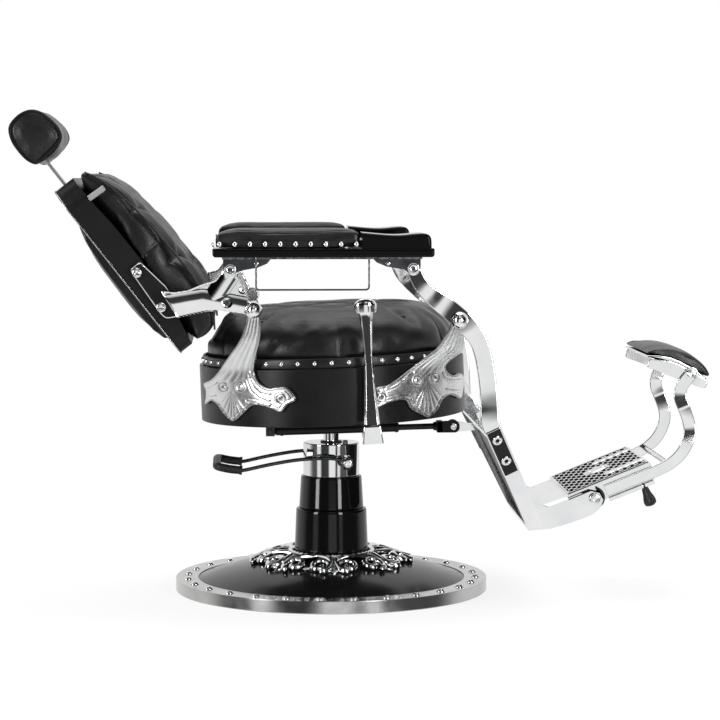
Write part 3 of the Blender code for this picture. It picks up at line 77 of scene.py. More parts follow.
# ------------------------------------------------------------------ node trees
class Nodes:
    """A node tree with short calls for the nodes used here; a value is a number, a colour or an output."""

    def __init__(self, owner, coordinates="Object"):
        owner.use_nodes = True
        self.tree = owner.node_tree
        self.place = self.new("ShaderNodeTexCoord").outputs[coordinates]
        self.bump = None

    def feed(self, socket, value):
        if isinstance(value, bpy.types.NodeSocket):
            self.tree.links.new(value, socket)
        elif socket.type == "RGBA":
            grey = (value, value, value)
            socket.default_value = (*(value if isinstance(value, tuple) else grey), 1.0)
        else:
            socket.default_value = value

    def new(self, kind, values=(), **settings):
        node = self.tree.nodes.new(kind)
        for key, value in settings.items():
            setattr(node, key, value)
        for key, value in dict(values).items():
            self.feed(node.inputs[key], value)
        return node

    def at(self, stretch):
        """The place, stretched by a scale for each axis."""
        if stretch is None:
            return self.place
        return self.new("ShaderNodeMapping", {"Scale": stretch, "Vector": self.place}).outputs["Vector"]

    def noise(self, scale, detail=3.0, distortion=0.0, stretch=None):
        values = {"Scale": scale, "Detail": detail, "Distortion": distortion, "Vector": self.at(stretch)}
        return self.new("ShaderNodeTexNoise", values).outputs["Fac"]

    def cells(self, scale, stretch=None):
        return self.new("ShaderNodeTexVoronoi", {"Scale": scale,
                                                 "Vector": self.at(stretch)}).outputs["Distance"]

    def rings(self, scale):
        """Fine lines round the Z axis, as a lathe leaves them."""
        split = self.new("ShaderNodeSeparateXYZ", {0: self.place}).outputs
        flat = self.new("ShaderNodeCombineXYZ", {"X": split["X"], "Y": split["Y"]}).outputs[0]
        radius = self.new("ShaderNodeVectorMath", {0: flat}, operation="LENGTH").outputs["Value"]
        total = self.new("ShaderNodeMath", {0: radius, 1: split["Z"]}, operation="ADD").outputs[0]
        values = {"Scale": scale, "Detail": 2.0, "W": total}
        return self.new("ShaderNodeTexNoise", values, noise_dimensions="1D").outputs["Fac"]

    def spread(self, source, low, high, from_low=0.3, from_high=0.7):
        values = {"Value": source, "From Min": from_low, "From Max": from_high, "To Min": low,
                  "To Max": high}
        return self.new("ShaderNodeMapRange", values).outputs["Result"]

    def mix(self, factor, first, second, blend_type="MIX"):
        values = {"Fac": factor, "Color1": first, "Color2": second}
        return self.new("ShaderNodeMixRGB", values, blend_type=blend_type).outputs["Color"]

    def tones(self, source, table):
        """A grey that follows a value from -1 to 1 through a table of (value, grey)."""
        ramp = self.new("ShaderNodeValToRGB", {"Fac": self.spread(source, 0.0, 1.0, -1.0, 1.0)})
        elements = ramp.color_ramp.elements
        for index, (value, grey) in enumerate(table):
            element = elements[index] if index < 2 else elements.new((value + 1) / 2)
            element.position = (value + 1) / 2
            element.color = (grey, grey, grey, 1.0)
        return ramp.outputs["Color"]

    def raised(self, height, distance, strength):
        values = {"Height": height, "Distance": distance, "Strength": strength}
        if self.bump is not None:
            values["Normal"] = self.bump
        self.bump = self.new("ShaderNodeBump", values).outputs["Normal"]

    def edges(self, low, high):
        """0 on flats, 1 on convex edges when high > low; the other way round it finds concave spots."""
        return self.spread(self.new("ShaderNodeNewGeometry").outputs["Pointiness"], 0.0, 1.0, low, high)


# ------------------------------------------------------------------ materials
# Each finish has its dark and light tone, its range of roughness and its bumps: a kind of texture with
# its settings, a distance and a strength. Worn is the tone of rubbed edges with the edge range;
# painted hollow shade is a dark tone painted into concave spots as shade, with its range.
FINISHES = {
    "leather": dict(
        dark=(0.006, 0.006, 0.0068), light=(0.01, 0.01, 0.011), rough=(0.27, 0.38), patch=14.0,
        specular=0.38,
        bumps=[("noise", (46.0, 5.0, 0.6), 0.0016, 0.35),
               ("cells", (620.0, (1.0, 1.0, 1.12)), 0.00022, 0.55),
               ("noise", (1500.0, 2.0), 0.00008, 0.5)],
        worn=((0.035, 0.034, 0.034), 0.53, 0.64)),
    "chrome": dict(
        dark=(0.8, 0.81, 0.82), light=0.9, rough=(0.035, 0.085), metallic=1.0, patch=18.0,
        bumps=[("noise", (16.0, 1.0), 0.0022, 0.3), ("noise", (900.0, 3.0), 0.00002, 0.3)]),
    # Cast chrome gets painted shade: a dark tone in its concave spots stands in for the shade in the
    # grooves of its relief.
    "cast_chrome": dict(
        dark=(0.74, 0.745, 0.75), light=0.86, rough=(0.22, 0.33), metallic=1.0, patch=30.0,
        bumps=[("noise", (480.0, 3.0), 0.00006, 0.5)], painted_hollow_shade=(0.11, 0.494, 0.462)),
    "turned_steel": dict(
        dark=(0.5, 0.495, 0.49), light=(0.62, 0.615, 0.61), rough=(0.13, 0.24), metallic=1.0, patch=11.0,
        bumps=[("rings", (2600.0,), 0.00006, 0.5)]),
    "brushed_steel": dict(
        dark=(0.46, 0.455, 0.45), light=(0.6, 0.595, 0.59), rough=(0.2, 0.34), metallic=1.0, patch=25.0,
        bumps=[("noise", (40.0, 3.0, 0.0, (60.0, 60.0, 1.0)), 0.00005, 0.6)]),
    "satin_black": dict(
        dark=(0.006, 0.006, 0.0065), light=(0.01, 0.01, 0.0105), rough=(0.27, 0.38), patch=8.0,
        specular=0.21,
        bumps=[("noise", (750.0, 3.0), 0.0001, 0.45), ("noise", (30.0, 2.0), 0.0006, 0.08)],
        worn=(0.03, 0.55, 0.66)),
    "dish_black": dict(
        dark=(0.006, 0.006, 0.0065), light=(0.01, 0.01, 0.0105), rough=(0.13, 0.2), patch=8.0,
        specular=0.22,
        bumps=[("noise", (750.0, 3.0), 0.00005, 0.3)]),
    "gloss_black": dict(
        dark=(0.003, 0.003, 0.0033), light=(0.005, 0.005, 0.0055), rough=(0.04, 0.09), specular=0.35,
        bumps=[("noise", (160.0, 2.0), 0.0001, 0.1)]),
    "lacquer": dict(
        dark=(0.0018, 0.0018, 0.002), light=(0.003, 0.003, 0.0033), rough=(0.05, 0.1), specular=0.11,
        bumps=[("noise", (220.0, 2.0), 0.00006, 0.1)]),
    "dark_steel": dict(
        dark=(0.045, 0.046, 0.05), light=(0.085, 0.087, 0.092), rough=(0.24, 0.4), metallic=0.85,
        patch=28.0,
        bumps=[("noise", (520.0, 4.0), 0.00008, 0.5)], worn=((0.32, 0.32, 0.33), 0.52, 0.6)),
    "cast_iron": dict(
        dark=(0.02, 0.02, 0.021), light=(0.04, 0.039, 0.038), rough=(0.5, 0.72), metallic=0.5, patch=35.0,
        bumps=[("noise", (260.0, 6.0), 0.0005, 0.6)]),
    "rubber": dict(
        dark=0.008, light=0.014, rough=(0.4, 0.55), patch=22.0, specular=0.35,
        bumps=[("noise", (900.0, 4.0), 0.00012, 0.5)]),
    "wood": dict(
        dark=(0.36, 0.24, 0.14), light=(0.52, 0.38, 0.25), rough=(0.55, 0.75),
        bumps=[("noise", (30.0, 6.0, 0.0, (2.0, 30.0, 2.0)), 0.0002, 0.6)]),
    # Flat black for the footrest's shallow pockets: painted shade standing in for the shade and dark
    # reflections of deep pockets.
    "black_enamel": dict(
        dark=0.004, light=0.009, rough=(0.7, 0.9), patch=60.0, specular=0.02,
        bumps=[("noise", (700.0, 3.0), 0.0001, 0.5)])}


def make_finish(name, dark, light, rough, bumps, metallic=0.0, patch=9.0, specular=0.5, worn=None,
                painted_hollow_shade=None):
    """A base with colour patches, uneven roughness, bumps, rubbed edges and painted shade in concave spots.
    """
    material = bpy.data.materials.new(name)
    nodes = Nodes(material)
    shader = nodes.tree.nodes["Principled BSDF"].inputs
    colour = nodes.mix(nodes.spread(nodes.noise(patch, 4.0), 0.0, 1.0), dark, light)
    if worn:
        tone, low, high = worn
        rubbed = nodes.spread(nodes.noise(120.0, 4.0), 0.0, 1.0, 0.42, 0.62)
        scuffs = nodes.new("ShaderNodeMath", {0: nodes.edges(low, high), 1: rubbed}, operation="MULTIPLY")
        colour = nodes.mix(scuffs.outputs[0], colour, tone)
    # Painted shade: concave spots, found by pointiness, are mixed towards a dark tone.
    if painted_hollow_shade:
        tone, low, high = painted_hollow_shade
        colour = nodes.mix(nodes.edges(low, high), colour, tone)
    for kind, settings, distance, strength in bumps:
        nodes.raised(getattr(nodes, kind)(*settings), distance, strength)
    values = {"Base Color": colour, "Roughness": nodes.spread(nodes.noise(patch * 3.1, 5.0), *rough),
              "Metallic": metallic, "Specular IOR Level": specular, "Normal": nodes.bump}
    for key, value in values.items():
        nodes.feed(shader[key], value)
    return material


MATERIALS = {name: make_finish(name, **settings) for name, settings in FINISHES.items()}


# ------------------------------------------------------------------ outlines
def fillet(points, radius, steps=4, closed=True):
    """Corners of an outline turned into short curves."""
    out = []
    last = len(points) - 1
    for i, point in enumerate(points):
        if not closed and i in (0, last):
            out.append(tuple(point))
            continue
        here = np.array(point, float)
        ends = []
        for other in (points[i - 1], points[(i + 1) % (last + 1)]):
            leg = np.array(other, float) - here
            length = max(np.linalg.norm(leg), 1e-9)
            ends.append(here + leg / length * min(radius, 0.45 * length))
        for k in range(steps + 1):
            t = k / steps
            out.append(tuple((1 - t) ** 2 * ends[0] + 2 * t * (1 - t) * here + t * t * ends[1]))
    return out


def smooth(points, per=6, closed=False):
    """A curve through the points, with tangents weighted by the spacing."""
    p = np.array(points, float)
    count = len(p)
    if closed:
        p = np.vstack([p[-1:], p, p[:2]])
    else:
        p = np.vstack([2 * p[0] - p[1], p, 2 * p[-1] - p[-2]])
    gaps = np.maximum(np.linalg.norm(np.diff(p, axis=0), axis=1), 1e-9) ** 0.5
    out = []
    for i in range(1, count + 1 if closed else count):
        before, span, after = gaps[i - 1], gaps[i], gaps[i + 1]
        chord = (p[i + 1] - p[i]) / span
        start = (chord * before + (p[i] - p[i - 1]) / before * span) / (before + span)
        end = ((p[i + 2] - p[i + 1]) / after * span + chord * after) / (span + after)
        for k in range(per):
            t = k / per
            out.append((2 * t**3 - 3 * t**2 + 1) * p[i] + (t**3 - 2 * t**2 + t) * span * start
                       + (3 * t**2 - 2 * t**3) * p[i + 1] + (t**3 - t**2) * span * end)
    if not closed:
        out.append(p[-2])
    return [tuple(point) for point in out]


def rectangle(low, high):
    """An outline from its lowest and highest corner."""
    return [low, (high[0], low[1]), high, (low[0], high[1])]


def unit(vectors, smallest=1e-9):
    return vectors / np.maximum(np.linalg.norm(vectors, axis=-1, keepdims=True), smallest)


def outward(along, points):
    """Normals of an outline out of its area, from its directions."""
    x, z = points.T
    area = np.sum(x * np.roll(z, -1) - np.roll(x, -1) * z)
    return np.column_stack([along[:, 1], -along[:, 0]]) * (1 if area > 0 else -1)


def shrunk(outline, inset):
    """An outline moved inwards."""
    p = np.array(outline, float)
    along = unit(np.roll(p, -1, axis=0) - np.roll(p, 1, axis=0))
    return [tuple(q) for q in p - outward(along, p) * inset]


# ------------------------------------------------------------------ shapes
def joined(*shapes):
    points, faces, base = [], [], 0
    for p, f in shapes:
        points.append(np.asarray(p, float).reshape(-1, 3))
        faces += [tuple(i + base for i in face) for face in f]
        base += len(points[-1])
    return np.vstack(points), faces


def placed(points, matrix):
    m = np.array(matrix)
    return np.asarray(points) @ m[:3, :3].T + m[:3, 3]


def local(points, matrix):
    return placed(points, matrix.inverted())


def moved(shape, matrix):
    return placed(shape[0], matrix), shape[1]


def strip_faces(rows, columns, wrap_rows=False, wrap_columns=True):
    faces = []
    for i in range(rows if wrap_rows else rows - 1):
        for j in range(columns if wrap_columns else columns - 1):
            k = (j + 1) % columns
            below = (i + 1) % rows * columns
            faces.append((i * columns + j, i * columns + k, below + k, below + j))
    return faces


def lathe(profile, steps=96, closed=False, ripple=None):
    """A profile of (radius, height) turned about Z; ripple(angle, height) scales the radius."""
    angles = np.arange(steps) * TAU / steps
    rows = []
    for radius, height in profile:
        scale = ripple(angles, height) if ripple else 1.0
        rows.append(np.column_stack([radius * scale * np.cos(angles), radius * scale * np.sin(angles),
                                     np.full(steps, height)]))
    return np.vstack(rows), strip_faces(len(rows), steps, wrap_rows=closed)


def pin(radius, half, edge=0.001, corner=3, steps=40):
    """A round pin along Z with rounded rims."""
    profile = fillet([(0.0, half), (radius, half), (radius, -half), (0.0, -half)], edge, corner, False)
    return lathe(profile, steps)


def collar(inner, outer, low, high, edge=0.001, steps=40):
    return lathe(fillet(rectangle((inner, low), (outer, high)), edge, 3), steps, closed=True)


def sections(rings, closed=False):
    """A skin over a row of rings that all have the same number of points."""
    count = len(rings[0])
    faces = strip_faces(len(rings), count, wrap_rows=closed)
    if not closed:
        faces.append(tuple(range(count)))
        faces.append(tuple(range(len(rings) * count - count, len(rings) * count)))
    return np.vstack(rings), faces


def slab(outline, low, high, edge=0.001, rings=3, matrix=Matrix()):
    """An outline of (x, z), thick along Y between low and high, with rounded rims."""
    p = np.array(outline, float)
    area = np.sum(p[:, 0] * np.roll(p[:, 1], -1) - np.roll(p[:, 0], -1) * p[:, 1])
    if area < 0:
        p = p[::-1]
    out = outward(unit(np.roll(p, -1, axis=0) - p), p)
    corner = unit(out + np.roll(out, 1, axis=0))
    low, high = min(low, high), max(low, high)

    def layer(inset, y):
        flat = p - corner * inset
        return np.column_stack([flat[:, 0], np.full(len(p), y), flat[:, 1]])

    rest = edge + min(0.0004, edge)
    layers = [layer(rest, low)]
    for k in range(2 * rings + 2):
        up = k > rings
        angle = math.pi / 2 * ((2 * rings + 1 - k) if up else k) / rings
        inset, rise = edge * (1 - math.sin(angle)), edge * (1 - math.cos(angle))
        layers.append(layer(inset, high - rise if up else low + rise))
    layers.append(layer(rest, high))
    return moved(sections(layers), matrix)


def tube(path, radius, sides=12, closed=False, flat=1.0, up=(0, 0, 1)):
    """A bar along a path; radius may be one number or one per point, flat squeezes it along up."""
    p = np.array(path, float)
    if closed:
        tangents = unit(np.roll(p, -1, axis=0) - np.roll(p, 1, axis=0), 1e-12)
    else:
        tangents = unit(np.gradient(p, axis=0), 1e-12)
    across = np.cross(tangents[0], np.array(up, float))
    if np.linalg.norm(across) < 1e-6:
        across = np.cross(tangents[0], (1.0, 0.0, 0.0))
    rings = []
    angles = np.arange(sides) * TAU / sides
    for place, tangent, size in zip(p, tangents, np.broadcast_to(radius, len(p))):
        across = unit(across - tangent * (across @ tangent), 1e-12)
        other = np.cross(across, tangent) * flat
        rings.append(place + size * (np.outer(np.cos(angles), across) + np.outer(np.sin(angles), other)))
    return sections(rings, closed)


def rim_tube(outline, y, radius, matrix=Matrix()):
    """A bead that follows an outline of (x, z)."""
    return moved(tube([(x, y, z) for x, z in outline], radius, 10, closed=True, up=(0, 1, 0)), matrix)


def flat_bar(path, width, middle, thickness, corner):
    """A flat bar in the XZ plane; width and middle (its Y) may change along the path."""
    p = np.array(path, float)
    tangents = unit(np.gradient(p, axis=0))
    rings = []
    half = thickness / 2
    widths, middles = np.broadcast_to(width, len(p)), np.broadcast_to(middle, len(p))
    for place, tangent, wide, y in zip(p, tangents, widths, middles):
        side = wide / 2
        rim = fillet([(side, half), (-side, half), (-side, -half), (side, -half)], corner, 3)
        normal = np.array([-tangent[1], tangent[0]])
        rings.append(np.array([(place[0] + normal[0] * a, y + b, place[1] + normal[1] * a) for a,
                               b in rim]))
    return sections(rings)


def facing(place, direction):
    """A frame at a place whose Z points along a direction."""
    turn = Vector(direction).to_track_quat("Z", "Y").to_matrix().to_4x4()
    return Matrix.Translation(place) @ turn


def sideways(place, y, side):
    """A frame at (x, z) on one side of the chair, whose Z points out to that side."""
    return facing((place[0], side * y, place[1]), (0, side, 0))


DOME = [(1.0, -0.25), (1.0, 0.04), (0.97, 0.16), (0.86, 0.38), (0.68, 0.55), (0.44, 0.66), (0.2, 0.71),
    (0.0, 0.72)]


def capped(profile, steps):
    """A turned profile whose open lower end gets a flat cap."""
    points, faces = lathe(profile, steps)
    return points, faces + [tuple(range(steps))]


def studs(places, radius, height=1.0, steps=18, profile=DOME):
    """Domes of one size at (place, direction) pairs."""
    shape = capped([(r * radius, z * radius * height) for r, z in profile], steps)
    return joined(*[moved(shape, facing(place, direction)) for place, direction in places])


def bolt(turn, radius, height, socket=True):
    """A round bolt head in a frame, with a turned chamfer and a socket."""
    well = radius * 0.42
    profile = [(radius, -height * 0.6), (radius, height * 0.62), (radius * 0.93, height * 0.86),
               (radius * 0.8, height)]
    if socket:
        profile += [(radius * 0.62, height * 0.97), (radius * 0.56, height * 0.8),
                    (well * 1.12, height * 0.84), (well, height * 0.8), (well, height * 0.25),
                    (0.0, height * 0.18)]
    else:
        profile += [(radius * 0.4, height * 1.1), (0.0, height * 1.14)]
    return moved(capped(profile, 36), turn)


# ------------------------------------------------------------------ pieces
def object_from(bm, name):
    mesh = bpy.data.meshes.new(name)
    bm.to_mesh(mesh)
    bm.free()
    obj = bpy.data.objects.new(name, mesh)
    bpy.context.scene.collection.objects.link(obj)
    return obj


def raw_object(name, shape):
    bm = bmesh.new()
    verts = [bm.verts.new(p) for p in np.asarray(shape[0], float)]
    for face in shape[1]:
        try:
            bm.faces.new([verts[i] for i in face])
        except ValueError:
            continue
    bmesh.ops.remove_doubles(bm, verts=bm.verts, dist=2e-6)
    bmesh.ops.recalc_face_normals(bm, faces=bm.faces)
    bmesh.ops.delete(bm, geom=[v for v in bm.verts if not v.link_faces], context="VERTS")
    return object_from(bm, name)


def modify(obj, kind, **settings):
    modifier = obj.modifiers.new(kind.lower(), kind)
    for key, value in settings.items():
        setattr(modifier, key, value)
    return modifier


def bake(obj):
    """Replace an object's mesh by what its modifiers make of it."""
    bpy.context.view_layer.update()
    evaluated = obj.evaluated_get(bpy.context.evaluated_depsgraph_get())
    mesh = bpy.data.meshes.new_from_object(evaluated)
    old = obj.data
    obj.modifiers.clear()
    obj.data = mesh
    bpy.data.meshes.remove(old)
    return obj


CAP_CORNERS = 14


def paint(obj, finish):
    obj.data.materials.clear()
    obj.data.materials.append(MATERIALS[finish])


def settle(obj, body, finish, nodes=(), angle=35.0):
    """Shade, paint and hang a finished object on its body."""
    obj.data.shade_smooth()
    obj.data.set_sharp_from_angle(angle=math.radians(angle))
    if finish != "leather":
        for polygon in obj.data.polygons:
            polygon.use_smooth = len(polygon.vertices) < CAP_CORNERS
        modify(obj, "WEIGHTED_NORMAL", keep_sharp=True)
        bake(obj)
    paint(obj, finish)
    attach(obj, body)
    if nodes:
        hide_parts(*nodes)


def piece(name, shape, body, finish, nodes=(), angle=35.0):
    settle(raw_object(name, shape), body, finish, nodes, angle)


def carve(obj, *cutters):
    """Cut closed shapes out of an object."""
    tools = [raw_object("cutter", shape) for shape in cutters]
    for tool in tools:
        modify(obj, "BOOLEAN", operation="DIFFERENCE", solver="EXACT", object=tool)
    bake(obj)
    for tool in tools:
        bpy.data.objects.remove(tool)


def node_shape(node):
    mesh = NODES[node].data
    return np.array([v.co for v in mesh.vertices], float), [tuple(p.vertices) for p in mesh.polygons]


def refined(node, body, finish, rim=0.0006):
    """A node's own shape with rounded rims and smooth shading."""
    bm = bmesh.new()
    bm.from_mesh(NODES[node].data)
    bmesh.ops.remove_doubles(bm, verts=bm.verts, dist=2e-5)
    bmesh.ops.dissolve_limit(bm, angle_limit=math.radians(1.0), verts=bm.verts, edges=bm.edges)
    obj = object_from(bm, node + "_rounded")
    modify(obj, "BEVEL", width=rim, segments=2, limit_method="ANGLE", angle_limit=math.radians(28.0))
    settle(bake(obj), body, finish, (node,), 40.0)


# ------------------------------------------------------------------ relief and padding
def points_of(obj):
    co = np.zeros(len(obj.data.vertices) * 3)
    obj.data.vertices.foreach_get("co", co)
    return co.reshape(-1, 3)


def put_points(obj, points):
    obj.data.vertices.foreach_set("co", np.asarray(points, float).ravel())
    obj.data.update()


def ease(value, low, high):
    """0 below low, 1 above high, with a smooth step between."""
    t = np.clip((value - low) / (high - low), 0.0, 1.0)
    return t * t * (3 - 2 * t)


def hill(distance, width, power=2):
    """1 at distance 0, falling to nothing within a few widths."""
    return np.exp(-(distance / width) ** power)


def push(obj, change):
    """Move an object's points by change(points, normals), which returns vectors."""
    points = points_of(obj)
    normals = np.array([v.normal for v in obj.data.vertices], float)
    put_points(obj, points + change(points, normals))


def remeshed(name, shape, voxel, relax):
    obj = raw_object(name, shape)
    modify(obj, "REMESH", mode="VOXEL", voxel_size=voxel)
    modify(obj, "SMOOTH", factor=0.5, iterations=relax)
    return bake(obj)


WRINKLE_ROUNDS = 16
PRESSURE, CLOTH_FRAMES = 4.0, 20


def evened(obj, vectors, rounds):
    """Vectors at the points of a mesh, averaged with their neighbours' so that only broad swells stay."""
    ends = np.array([tuple(edge.vertices) for edge in obj.data.edges])
    a, b = np.concatenate([ends[:, 0], ends[:, 1]]), np.concatenate([ends[:, 1], ends[:, 0]])
    count = np.maximum(np.bincount(a, minlength=len(vectors)), 1)
    for _ in range(rounds):
        near = np.column_stack([np.bincount(a, vectors[b, k], len(vectors)) for k in range(3)])
        vectors = 0.4 * vectors + 0.6 * near / count[:, None]
    return vectors


def inflate(obj, cap, held):
    """Blow a closed skin up a little; no point moves further than the cap."""
    before = points_of(obj)
    cloth = modify(obj, "CLOTH").settings
    cloth.quality = 4
    cloth.use_pressure = True
    cloth.uniform_pressure_force = PRESSURE
    cloth.effector_weights.gravity = 0.0
    if held is not None:
        group = obj.vertex_groups.new(name="held")
        group.add([int(i) for i in np.nonzero(held(before))[0]], 1.0, "REPLACE")
        cloth.vertex_group_mass = "held"
    scene = bpy.context.scene
    for number in range(1, CLOTH_FRAMES + 1):
        scene.frame_set(number)
    bake(obj)
    scene.frame_set(1)
    move = points_of(obj) - before
    length = np.maximum(np.linalg.norm(move, axis=1, keepdims=True), 1e-9)
    put_points(obj, before + evened(obj, move * np.minimum(1.0, cap / length), WRINKLE_ROUNDS))


def soft(name, shape, voxel, relax, cap, held=None, shrink=0.5):
    """A padded piece: remeshed, shrunk a little, inflated as cloth and subdivided; held points stay put."""
    obj = remeshed(name, shape, voxel, relax)
    push(obj, lambda points, normals: -normals * cap * shrink)
    inflate(obj, cap, held)
    modify(obj, "SUBSURF", levels=1)
    return bake(obj)


def near_segments(points, segments):
    """Distance in the plane from each point to the nearest segment."""
    best = np.full(len(points), 1e9)
    for a, b in segments:
        a, b = np.array(a, float), np.array(b, float)
        d = b - a
        t = np.clip((points - a) @ d / max(d @ d, 1e-12), 0.0, 1.0)
        best = np.minimum(best, np.linalg.norm(points - a - t[:, None] * d, axis=1))
    return best


def near_points(points, places):
    return np.min([np.linalg.norm(points - np.array(place), axis=1) for place in places], axis=0)


# ------------------------------------------------------------------ base
DISH = [(0.052, 0.067), (0.1, 0.0645), (0.165, 0.055), (0.228, 0.04), (0.2775, 0.024)]
RIVET = [(1.0, -0.3), (1.0, 0.1), (0.94, 0.17), (0.8, 0.19), (0.76, 0.3), (0.64, 0.45), (0.42, 0.56),
    (0.2, 0.6), (0.0, 0.61)]
RING_INNER, RING_OUTER, RING_TOP = 0.278, 0.325, 0.026
RIVET_COUNT, RIVET_CIRCLE, RIVET_RADIUS = 28, 0.301, 0.0092
ORNAMENT_UNITS = 8
VOLUTE_X, VOLUTE_Y, VOLUTE_REACH = 0.143, 0.027, 0.0215


def on_dish(radius, angle, lift):
    """Points above the dish; the wreath's faces rise towards the column."""
    height = np.interp(radius, *zip(*DISH))
    rise = 0.0095 * ease(-radius, -0.172, -0.112)
    return np.column_stack([radius * np.cos(angle), radius * np.sin(angle), height + rise + lift])


def ribbon(radius, around, size):
    """A raised band that lies on the dish, taller than it is wide."""
    return tube(on_dish(radius, around, size * 0.95), size, 14, flat=1.25)


def volute(angle, hand):
    """A tapering scroll that lies on the dish; hand is 1 or -1."""
    t = np.linspace(0.0, 1.0, 52)
    turn = hand * (math.pi * 0.15 + t * TAU * 1.3)
    reach = VOLUTE_REACH * (1 - t) ** 0.8 + 0.003
    x = VOLUTE_X + reach * np.cos(turn)
    y = hand * VOLUTE_Y + reach * np.sin(turn)
    size = 0.0062 - 0.0016 * t
    size[0] *= 0.5
    return ribbon(np.hypot(x, y), np.arctan2(y, x) + angle, size)


def stem(angle, hand):
    """The scroll's stem, from the foot of the column out to the volute."""
    t = np.linspace(0.0, 1.0, 20)
    radius = 0.088 + 0.068 * t
    side = hand * (0.003 + 0.046 * np.sin(math.pi * t * 0.6))
    size = 0.003 + 0.0026 * np.sin(math.pi * np.clip(t * 0.9, 0, 1))
    return ribbon(radius, angle + side / radius, size)


def petal(angle):
    """A ribbed leaf that points away from the column."""
    inner, outer, size = 0.11, 0.17, 0.011
    across = np.linspace(-1.0, 1.0, 11)
    rows = []
    for t in np.linspace(0.0, 1.0, 15):
        radius = np.full(11, inner + (outer - inner) * t)
        half = size * math.sin(math.pi * min(0.97, 0.12 + 0.88 * t)) ** 0.8 + 0.0006
        lift = size * (1 - across**2) * (1 - 0.55 * t) * (0.8 + 0.2 * np.cos(across * 7.5))
        rows.append(np.vstack([on_dish(radius, angle + across * half / radius, lift + 0.0005),
                               on_dish(radius, angle + across[::-1] * half / radius, -0.003)]))
    return sections(rows)


def make_base():
    ring = fillet([(RING_INNER, 0.0), (RING_INNER, RING_TOP), (RING_OUTER - 0.0005, RING_TOP),
                   (RING_OUTER, 0.0015), (RING_OUTER - 0.0015, 0.0)], 0.0009, 4)
    piece("base_ring_turned", lathe(ring, 180, closed=True), "base", "turned_steel", ("base_ring",), 40)
    angles = TAU * (np.arange(RIVET_COUNT) + 0.5) / RIVET_COUNT
    places = [((RIVET_CIRCLE * math.cos(a), RIVET_CIRCLE * math.sin(a), RING_TOP), (0, 0, 1))
              for a in angles]
    piece("base_rivets", studs(places, RIVET_RADIUS, 0.85, 24, RIVET), "base", "chrome")
    upper = smooth(DISH, 6)
    lower = [(r, z - 0.003) for r, z in reversed(upper)]
    piece("base_dish_pressed", lathe(upper + lower, 160, closed=True), "base", "dish_black", ("base_dish",),
          50)
    parts = []
    for i in range(ORNAMENT_UNITS):
        angle = TAU * (i + 0.5) / ORNAMENT_UNITS
        for hand in (1, -1):
            parts += [volute(angle, hand), stem(angle, hand)]
        parts.append(petal(angle + math.pi / ORNAMENT_UNITS))
    angles = np.linspace(0, TAU, 120, endpoint=False)
    beads = np.cos(angles * 40)
    parts.append(tube(on_dish(np.full(120, 0.0865), angles, 0.004 + 0.0007 * beads), 0.0042 + 0.0005
                      * beads, 10, closed=True))
    piece("base_wreath", joined(*parts), "base", "chrome", ("base_ornament",), 60)


# ------------------------------------------------------------------ column
HEAD_BOTTOM, HEAD_TOP, HEAD_RADIUS, COVER_SPLIT = 0.238, 0.307, 0.0585, 0.17
PISTON_RADIUS = 0.0165
PUMP_AXIS = pivot("pump_stroke")
PUMP_HALF = 0.08


def make_column():
    split, top = COVER_SPLIT, HEAD_BOTTOM - 0.0003
    lower = fillet([(0.05, split), (0.0716, split), (0.0735, split - 0.003), (0.0768, 0.084),
                    (0.0758, 0.078), (0.0625, 0.0673), (0.059, 0.0673), (0.0722, 0.0795),
                    (0.069, split - 0.004), (0.05, split - 0.004)], 0.004, 4)
    upper = fillet([(0.049, top), (0.0618, top), (0.0634, top - 0.0025), (0.0672, split + 0.0025),
                    (0.0665, split + 0.0004), (0.0635, split + 0.0004), (0.06, top - 0.004),
                    (0.049, top - 0.004)], 0.002, 4)
    for node, cover in (("lower_cover", lower), ("upper_cover", upper)):
        piece(node + "_turned", lathe(cover, 128, closed=True), "base", "gloss_black", (node,), 50)
    bore, wall = PISTON_RADIUS + 0.0006, HEAD_RADIUS - 0.004
    head = fillet([(bore, HEAD_TOP), (HEAD_RADIUS, HEAD_TOP), (HEAD_RADIUS, HEAD_BOTTOM),
                   (wall, HEAD_BOTTOM), (wall, HEAD_TOP - 0.007), (bore, HEAD_TOP - 0.007)], 0.0022, 4)
    sleeve = raw_object("sleeve_head_turned", lathe(head, 128, closed=True))
    x, z = PUMP_AXIS
    slot = fillet(rectangle((x - 0.0075, z - 0.017), (x + 0.0075, z + 0.013)), 0.003)
    window = fillet(rectangle((-0.0525, z + 0.002), (-0.0375, z + 0.019)), 0.003)
    carve(sleeve, slab(slot, -0.07, 0.07, 1e-5, 1), slab(window, -0.07, 0.07, 1e-5, 1))
    settle(sleeve, "base", "chrome", ("sleeve_head",), 40)
    vent = bolt(facing((0.028, -0.028, HEAD_TOP), (0, 0, 1)), 0.0055, 0.006)
    gland = fillet([(bore + 0.0004, HEAD_TOP), (bore + 0.0004, HEAD_TOP + 0.003),
                    (bore + 0.005, HEAD_TOP + 0.003), (bore + 0.006, HEAD_TOP)], 0.001, 3)
    piece("pump_head_fittings", joined(vent, lathe(gland, 64, closed=True)), "base", "dark_steel")
    piston = fillet([(0.0, 0.3325), (PISTON_RADIUS, 0.3325), (PISTON_RADIUS, 0.03), (0.0, 0.03)], 0.001, 3,
                    False)
    piece("piston_rod", lathe(piston, 72), "lift", "chrome", ("lift_piston",), 40)
    cone = fillet([(0.0, 0.3618), (0.014, 0.3618), (0.014, 0.3503), (0.0352, 0.3503), (0.036, 0.3485),
                   (0.028, 0.3328), (0.0, 0.3328)], 0.001, 3, False)
    piece("swivel_flange", lathe(cone, 72), "lift", "dark_steel", ("swivel_cone",), 40)
    for node in ("base_plate", "pump_cylinder"):
        paint(NODES[node], "cast_iron")


